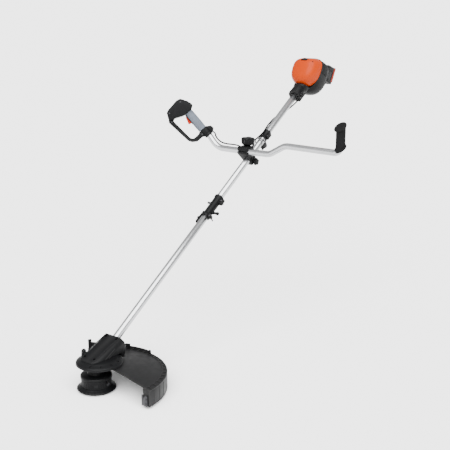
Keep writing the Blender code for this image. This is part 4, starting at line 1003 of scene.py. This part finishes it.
def throttle_handle():
    body = "bar_unit"
    power_at = shift(-18.5, 0, 156) @ Matrix.Rotation(radians(-64), 4, "Y")
    for name, side in (("throttle_shell_front", 1), ("throttle_shell_rear", -1)):
        def half(outline, rounds, deep, width, segments):
            low, high = sorted((-side * 0.12, -side * deep))
            bm = soften(prism(fillet(outline, rounds), low, high), width, segments,
                        where=lambda e: all(abs(abs(v.co.z) - deep) < 0.05 for v in e.verts))
            return turned_by(bm, FACING_Y)

        shell = half(HEAD_OUTLINE, HEAD_ROUNDS, 25, 8.5, 7)
        loop = half(LOOP_OUTLINE, LOOP_ROUNDS, 10, 4.2, 5)
        boot = lathe([(0, 34.2), (15.8, 34.2), (16.4, 33.4), (16.4, 12.4), (15.4, 11), (15.4, 7.4), (16.2, 6),
                      (16.2, -0.6), (14.8, -2), (0, -2)], 96)
        boot = shaped(boot, cuts=[block((-30, side * 0.12, -10), (30, -side * 30, 40))])
        cuts = [block((-13, -20, 127), (32, 20, 168)), turned_by(rod(6.3, -12, 14, 48), power_at),
                rod(BAR_R + 0.9, -20, 25, 64), block((-12, -20, 34.6), (11, -5.5, 121)),
                block((-12, 5.5, 34.6), (11, 20, 121))]
        if side < 0:
            cuts.append(turned_by(rod(7.3, -40, -9, 48), shift(30, 0, 148) @ ALONG_Y))
        piece(shaped(shell, [loop, boot], cuts), name + "_skin", BLACK, body, THROTTLE,
              [name], 32)
        for k, (x, z) in enumerate(((66, 164), (4, 170), (20, 19), (80, 132))):
            depth = 24.0 if z > 150 else 9.2
            screw = lathe([(0, 0.5), (1.3, 0.5), (1.5, 1.9), (2.9, 1.7), (3.2, 0.9), (3.2, -1), (0, -1)], 32)
            screw.transform(shift(x, side * depth, z) @ (FACING_Y if side < 0 else ALONG_Y))
            piece(screw, "%s_screw_%d" % (name, k), DARK_STEEL, body, THROTTLE)

    def swell(angle, radius, height):
        share = (height - 78) / 43
        return radius + (0.9 * (1 - share * share) if radius > 15 else 0)

    sleeve = lathe([(15.8, 120.8), (16.6, 120.2), (16.6, 114), (16.6, 100), (16.6, 78), (16.6, 56),
                    (16.6, 42), (16.6, 34.9), (16.2, 34.4), (13, 34.4), (13, 120.8)], 120, swell)
    moved(sleeve, 4.5)
    slot = block((4.5, -7, 74), (40, 7, 119))
    piece(shaped(sleeve, cuts=[slot]), "throttle_sleeve", GREY_GRIP, body, THROTTLE,
          ["throttle_grip"], 36)
    bezel = soften(block((12, -9.4, 72.6), (22.6, 9.4, 120.4)), 2.6, 4)
    bezel = shaped(bezel, cuts=[block((0, -6.5, 75), (40, 6.5, 117.8))])
    piece(bezel, "trigger_bezel", GLOSS_BLACK, body, THROTTLE)
    power = lathe([(0, 3.2), (3, 3.1), (4.8, 2.8), (5.8, 2.2), (6, 1.4), (6, -2), (0, -2)], 48)
    place = spot(THROTTLE, -18.5, 0, 156) @ Matrix.Rotation(radians(-64), 4, "Y")
    piece(power, "power_key", RUBBER, "power", place, ["power_button"])
    lock = lathe([(0, -17), (7, -17), (7, -28), (6.6, -29.2), (5.6, -30), (0, -30)], 56)
    place = spot(THROTTLE, 30, 0, 148) @ ALONG_Y
    piece(lock, "lock_off_key", TRIGGER_RED, "lock_off", place, ["lock_off_button"])
    outline = fillet([(-3.5, 3), (3, 4), (12, 0), (15.5, -10), (21.5, -28), (16, -33), (7, -31), (-3.5, -30)],
                     [1.5, 3, 5, 8, 2.5, 2, 3, 1.5])
    lever = soften(prism(outline, -6, 6), 1.8, 4, where=level)
    lever.transform(FACING_Y)
    place = spot(THROTTLE, 13, 0, 113)
    piece(lever, "throttle_trigger", TRIGGER_RED, "throttle", place, ["trigger"], 40)


def leads():
    """The throttle lead: beside the bar to the clamp, then behind its knob and along the tube."""
    leaves = bar_path()[0] + GRIP_FINGER * -20 + GRIP_UP * 6
    route = [leaves, (-157, 16, 52), (-152, 14, 43), (-140, 10, 33), (-124, 6, 25.6), (-107, 3, 21.4),
             (-87, 3, 19.4), (-64, 3, 19.8), (-43, 3, 19.4), (-24.5, 3, 16.5)]
    piece(sweep(smooth_path(route, 9), LEAD_R, 18), "bar_lead_jacket", LEAD_SKIN, "bar_unit", BAR,
          ["bar_lead"], 60)
    route = [(8, 1051.8, 33.7), (8, 1061, 29.7), (7, 1075, 32), (4, 1084, 37), (1, 1092, 36.2),
             (0, 1102, 30.5), (-1, 1119, 26), (0, 1129, 25), (0, 1142, 22.3), (0, 1158, 20.8),
             (-0.5, 1170, 20.7), (-3, 1185, 19.4), (-9.5, 1206, 13.8), (-14.6, 1230, 7), (-16.6, 1262, 1),
             (-13, 1300, -10.6), (0, 1345, -17), (9, 1380, -18.4), (12, 1406.6, -20.4)]
    piece(sweep(smooth_path(route, 9), LEAD_R, 18), "shaft_lead_jacket", LEAD_SKIN, "upper_unit",
          SHAFT, ["shaft_lead"], 60)


# ---- motor housing and battery ------------------------------------------------------------------------
WAIST = 50


def egg(low, high, half_width, count=96):
    """Shield outline of (x, up): square-shouldered above the waist, rounder below it."""
    points = []
    for k in range(count):
        angle = 2 * pi * k / count
        c, s = cos(angle), sin(angle)
        power = 0.625 if s > 0 else 0.85
        height = (high - WAIST) if s > 0 else (WAIST - low)
        points.append((half_width * abs(c) ** power * (1 if c > 0 else -1),
                       WAIST + height * abs(s) ** power * (1 if s > 0 else -1)))
    return points


def orange_cover():
    body = "upper_unit"
    depth, nose_drop, rows = 57, 12, []
    outline = egg(-22, 104, 61.5)
    rows.append([(x, 0, z) for x, z in outline])
    rows.append([(x, -4, z) for x, z in outline])
    rows.append([(x * 0.985, -5.2, WAIST + (z - WAIST) * 0.985) for x, z in outline])
    for k in range(3, 36):
        angle = (pi / 2) * k / 36
        scale = 0.985 * cos(angle) ** 0.43
        rows.append([(x * scale, -depth * sin(angle), WAIST - nose_drop * sin(angle) + (z - WAIST) * scale)
                     for x, z in outline])
    to_house = shaft_seen_from(HOUSING)
    dome = walled(loft(rows, cap_last=True), 2.4)
    tree = BVHTree.FromBMesh(dome)

    def on_dome(x, y):
        return tree.ray_cast(Vector((x, y, 140)), Vector((0, 0, -1)))[0]

    half_x, front_y, rear_y = 16, -54, -11
    vent = soften(block((-half_x, front_y, 60), (half_x, rear_y, 130)), 4, 4,
                  where=lambda edge: not level(edge))
    screw_spot = tree.ray_cast(Vector((40, -90, 72)), Vector((0, 1, 0)))[0]
    cuts = [vent, turned_by(rod(7, 1440, 1500), to_house @ ALONG_Y),
            turned_by(rod(2.8, -30, 30, 32), Matrix.Translation(screw_spot) @ ALONG_Y)]
    piece(shaped(dome, cuts=cuts), "cover_dome", ORANGE, body, HOUSING, ["orange_cover"], 40)

    grille = []
    count_x, count_y = 17, 55
    for j in range(count_y):
        y = front_y + 0.3 + (rear_y - front_y - 0.6) * j / (count_y - 1)
        slat = 1.3 if (j // 5) % 2 else 0.0
        row = []
        for i in range(count_x):
            x = (half_x - 0.3) * (2 * i / (count_x - 1) - 1)
            row.append(on_dome(x, y) - Vector((0, 0, 2.6 - slat)))
        grille.append(row)
    piece(walled(sheet(grille), 1.6), "vent_louvres", GLOSS_BLACK, body, HOUSING)
    corners = [(half_x, front_y), (half_x, rear_y), (-half_x, rear_y), (-half_x, front_y)]
    rim = [on_dome(x, y) + Vector((0, 0, 0.1)) for x, y in spread_out(fillet(corners, [4] * 4), 1.5)]
    piece(sweep([*rim, rim[0]], 0.9, 10), "vent_rim", ORANGE, body, HOUSING)
    screw = lathe([(0, 0.4), (0.9, 0.4), (1.1, 1.6), (2.2, 1.5), (2.4, 0.8), (2.4, -4), (0, -4)], 32)
    screw.transform(Matrix.Translation(screw_spot + Vector((0, 2.2, 0))) @ FACING_Y)
    piece(screw, "cover_screw", DARK_STEEL, body, HOUSING)


def housing():
    body = "upper_unit"
    sections = [(0.3, -30, 106, 62), (3, -32, 106.6, 62.5), (20, -40, 109, 63), (36, -40.5, 111, 62.8),
                (52, -38, 112, 62), (60, -34, 111.6, 60.4), (65, -30, 110, 58)]
    rows = []
    for one, two in zip(sections, sections[1:]):
        for k in range(3):
            t = k / 3
            y, low, high, wide = (a + (b - a) * t for a, b in zip(one, two))
            rows.append([(x, y, z) for x, z in egg(low, high, wide)])
    rows.append([(x, 65, z) for x, z in egg(*sections[-1][1:])])
    shell = walled(loft(rows), 2.4)
    to_house = shaft_seen_from(HOUSING)
    cuts = [turned_by(rod(14, 1440, 1500), to_house @ ALONG_Y)]
    for side in (-1, 1):
        for k in range(7):
            slot = soften(block((side * 61.2, -1.3, -17), (side * 72, 1.3, 17)), 1.0, 2)
            slot.transform(shift(0, 14 + 6.4 * k, 62) @ Matrix.Rotation(radians(-14), 4, "X"))
            cuts.append(slot)
    for k in range(6):
        cuts.append(moved(soften(block((-26, -1.4, 100), (26, 1.4, 130)), 1.0, 2), 0, 16 + 7 * k, 9.2))
    shell = shaped(shell, cuts=cuts)
    piece(shell, "housing_band", BLACK, body, HOUSING, ["housing_shell"], 32)
    for name, y, low, high, wide, thick in (("rear", 64.6, -30.5, 110.4, 58.4, 1.6),
                                            ("front", 1.6, -30.8, 106.4, 62.3, 1.1)):
        loop = [Vector((x, y, z)) for x, z in egg(low, high, wide, 120)]
        bm = bmesh.new()
        rows = []
        for k, point in enumerate(loop):
            along = (loop[(k + 1) % 120] - loop[k - 1]).normalized()
            out = along.cross(Vector((0, 1, 0))).normalized()
            rows.append([bm.verts.new(point + (out * cos(t) + Vector((0, 1, 0)) * sin(t)) * thick)
                         for t in (2 * pi * j / 10 for j in range(10))])
        skin(bm, [*rows, rows[0]])
        piece(outward(bm), "housing_bead_" + name, DARK_GREY, body, HOUSING)


def collar():
    body = "upper_unit"
    low, high = COLLAR_LOW, COLLAR_HIGH
    to_house = shaft_seen_from(HOUSING)
    neck = [to_house @ Vector((27 * cos(a), high - 2, 27 * sin(a)))
            for a in (2 * pi * k / 40 for k in range(40))]
    neck += [Vector((side * x, y, -24)) for side in (-1, 1) for x, y in ((20, -42), (30, -28), (33, -1))]
    neck += [Vector((side * 26, -1, -38)) for side in (-1, 1)]
    neck = soften(wrap(neck), 3.2, 3, 35)
    barrel = lathe([(0, high), (26.8, high), (27.2, high - 2), (26.2, low + 16), (26.2, low + 13),
                    (27.5, low + 12), (27.5, low + 1.6), (26, low), (0, low)], 96)
    barrel = turned_by(barrel, to_house @ ALONG_Y)
    boss = turned_by(lathe([(0, high + 4), (8, high + 4), (8, low + 1), (7, low), (0, low)], 48),
                     to_house @ shift(14, 0, -21) @ ALONG_Y)
    ear = turned_by(soften(block((20, low + 3, -6), (33, low + 22, 6)), 2.2, 3), to_house)
    cuts = [turned_by(rod(TUBE_R + 0.3, low - 10, 1462.4, 96), to_house @ ALONG_Y),
            turned_by(rod(17.5, low - 5, low + 3, 96), to_house @ ALONG_Y),
            turned_by(rod(6, low, high + 60, 48), to_house @ ALONG_Y),
            turned_by(block((18, low - 5, -0.9), (36, low + 24, 0.9)), to_house)]
    bm = shaped(neck, [barrel, boss, ear], cuts)
    piece(bm, "collar_neck", BLACK, body, HOUSING, ["motor_collar"], 30)
    for k, station in enumerate((low + 8, low + 17)):
        screw = moved(lathe([(0, 6.4), (1.6, 6.4), (1.8, 8.2), (3.2, 8), (3.5, 7), (3.5, 5.4), (0, 5.4)], 32),
                      27.5, station, 0)
        piece(screw, "collar_screw_%d" % k, DARK_STEEL, body, SHAFT)


def battery():
    plate = soften(prism(egg(-24, 106, 54, 96), -71, -65.4), 1.4, 3)
    plate.transform(FACING_Y)
    rails = [soften(block((side * 47.5, 68, 54), (side * 52.5, 98, 90)), 1.6, 3) for side in (-1, 1)]
    piece(shaped(plate, rails), "battery_bay", BLACK, "upper_unit", HOUSING, ["rear_frame"], 32)
    pack = soften(wrap([Vector((side * 46.5, y, z)) for side in (-1, 1) for y, z in (
        (71.4, 46), (122, 46), (71.4, 112), (122, 119))]), 4.5, 4)
    grooves = [soften(block((-50, 78 + 9 * k, 60), (50, 80.4 + 9 * k, 98)), 0.8, 2) for k in range(5)]
    inner = soften(block((-44.8, 70, 40), (44.8, 130, 130)), 1, 2)
    grooves = [shaped(groove, cuts=[inner.copy()]) for groove in grooves]
    inner.free()
    pack = shaped(pack, (), [*grooves, block((-14.4, 91.6, 107.5), (14.4, 110.4, 130))])
    piece(pack, "battery_case", BLACK, "battery", HOUSING, ["battery_pack"], 32)
    band = soften(block((-47.5, 122.4, 56), (47.5, 133, 121)), 3.6, 4)
    piece(band, "battery_end_band", BAND_RED, "battery", HOUSING, ["battery_band"], 32)
    skirt = soften(block((-46, 121, 46.4), (46, 129.6, 55.8)), 2.6, 3)
    piece(skirt, "battery_end_skirt", DARK_GREY, "battery", HOUSING)
    key = soften(block((-14, 92, 112), (14, 110, 120)), 1.6, 3)
    ridges = [moved(soften(block((-10, 95, 119.2), (10, 96.6, 120.6)), 0.5, 2), 0, 3.4 * k) for k in range(4)]
    piece(shaped(key, ridges), "battery_release", RUBBER, "latch", HOUSING, ["battery_latch"], 32)


# ---- floor, light, camera -----------------------------------------------------------------------------
SKY, SUN = 0.9, 12.0


def floor():
    bm = bmesh.new()
    bmesh.ops.create_circle(bm, cap_ends=True, segments=96, radius=250)
    mesh = bpy.data.meshes.new("studio_floor")
    bm.to_mesh(mesh)
    bm.free()
    obj = bpy.data.objects.new("studio_floor", mesh)
    bpy.context.scene.collection.objects.link(obj)
    obj.location.z = -0.0005
    look = Look("studio_floor", (0.93, 0.93, 0.93), 0.9, Specular_IOR_Level=0.0)
    look.set("Roughness", look.spread(look.noise(look.place(), 3, 3), 0.8, 0.9))
    obj.data.materials.append(look.mat)


def light(name, at, aim, size, power):
    data = bpy.data.lights.new(name, "AREA")
    data.shape = "DISK"
    data.size = size
    data.energy = power
    obj = bpy.data.objects.new(name, data)
    obj.location = at
    obj.rotation_mode = "QUATERNION"
    obj.rotation_quaternion = (Vector(aim) - Vector(at)).to_track_quat("-Z", "Y")
    bpy.context.scene.collection.objects.link(obj)


def studio():
    world = bpy.data.worlds.new("studio")
    bpy.context.scene.world = world
    world.use_nodes = True
    background = world.node_tree.nodes["Background"]
    background.inputs["Color"].default_value = (1, 1, 1, 1)
    background.inputs["Strength"].default_value = SKY
    data = bpy.data.lights.new("sun", "SUN")
    data.energy = SUN
    data.angle = radians(75)
    obj = bpy.data.objects.new("sun", data)
    obj.rotation_mode = "QUATERNION"
    obj.rotation_quaternion = Vector((-0.35, 0.45, -0.82)).to_track_quat("-Z", "Y")
    bpy.context.scene.collection.objects.link(obj)
    light("side", (-2.4, -2.6, 1.4), (0, 0.6, 0.4), 1.6, 20)


def camera():
    """Looks down at the clamp from 15.2 degrees up, 37.3 degrees round from the cutting end towards +x."""
    data = bpy.data.cameras.new("view")
    data.sensor_width = 36
    data.lens = 69.28
    data.clip_start, data.clip_end = 0.05, 500
    obj = bpy.data.objects.new("view", data)
    azimuth, elevation = radians(37.3), radians(15.2)
    back = Vector((sin(azimuth) * cos(elevation), -cos(azimuth) * cos(elevation), sin(elevation)))
    obj.location = (1.938, -1.840, 1.280)
    obj.rotation_mode = "QUATERNION"
    obj.rotation_quaternion = (-back).to_track_quat("-Z", "Y")
    bpy.context.scene.collection.objects.link(obj)
    bpy.context.scene.camera = obj


camera()
studio()
floor()
dress_inner_nodes()
trimmer()
head_covers()
side_boss()
flange()
guard()
tubes()
coupler()
harness_point()
bar_clamp()
handlebar()
throttle_handle()
leads()
orange_cover()
housing()
collar()
battery()
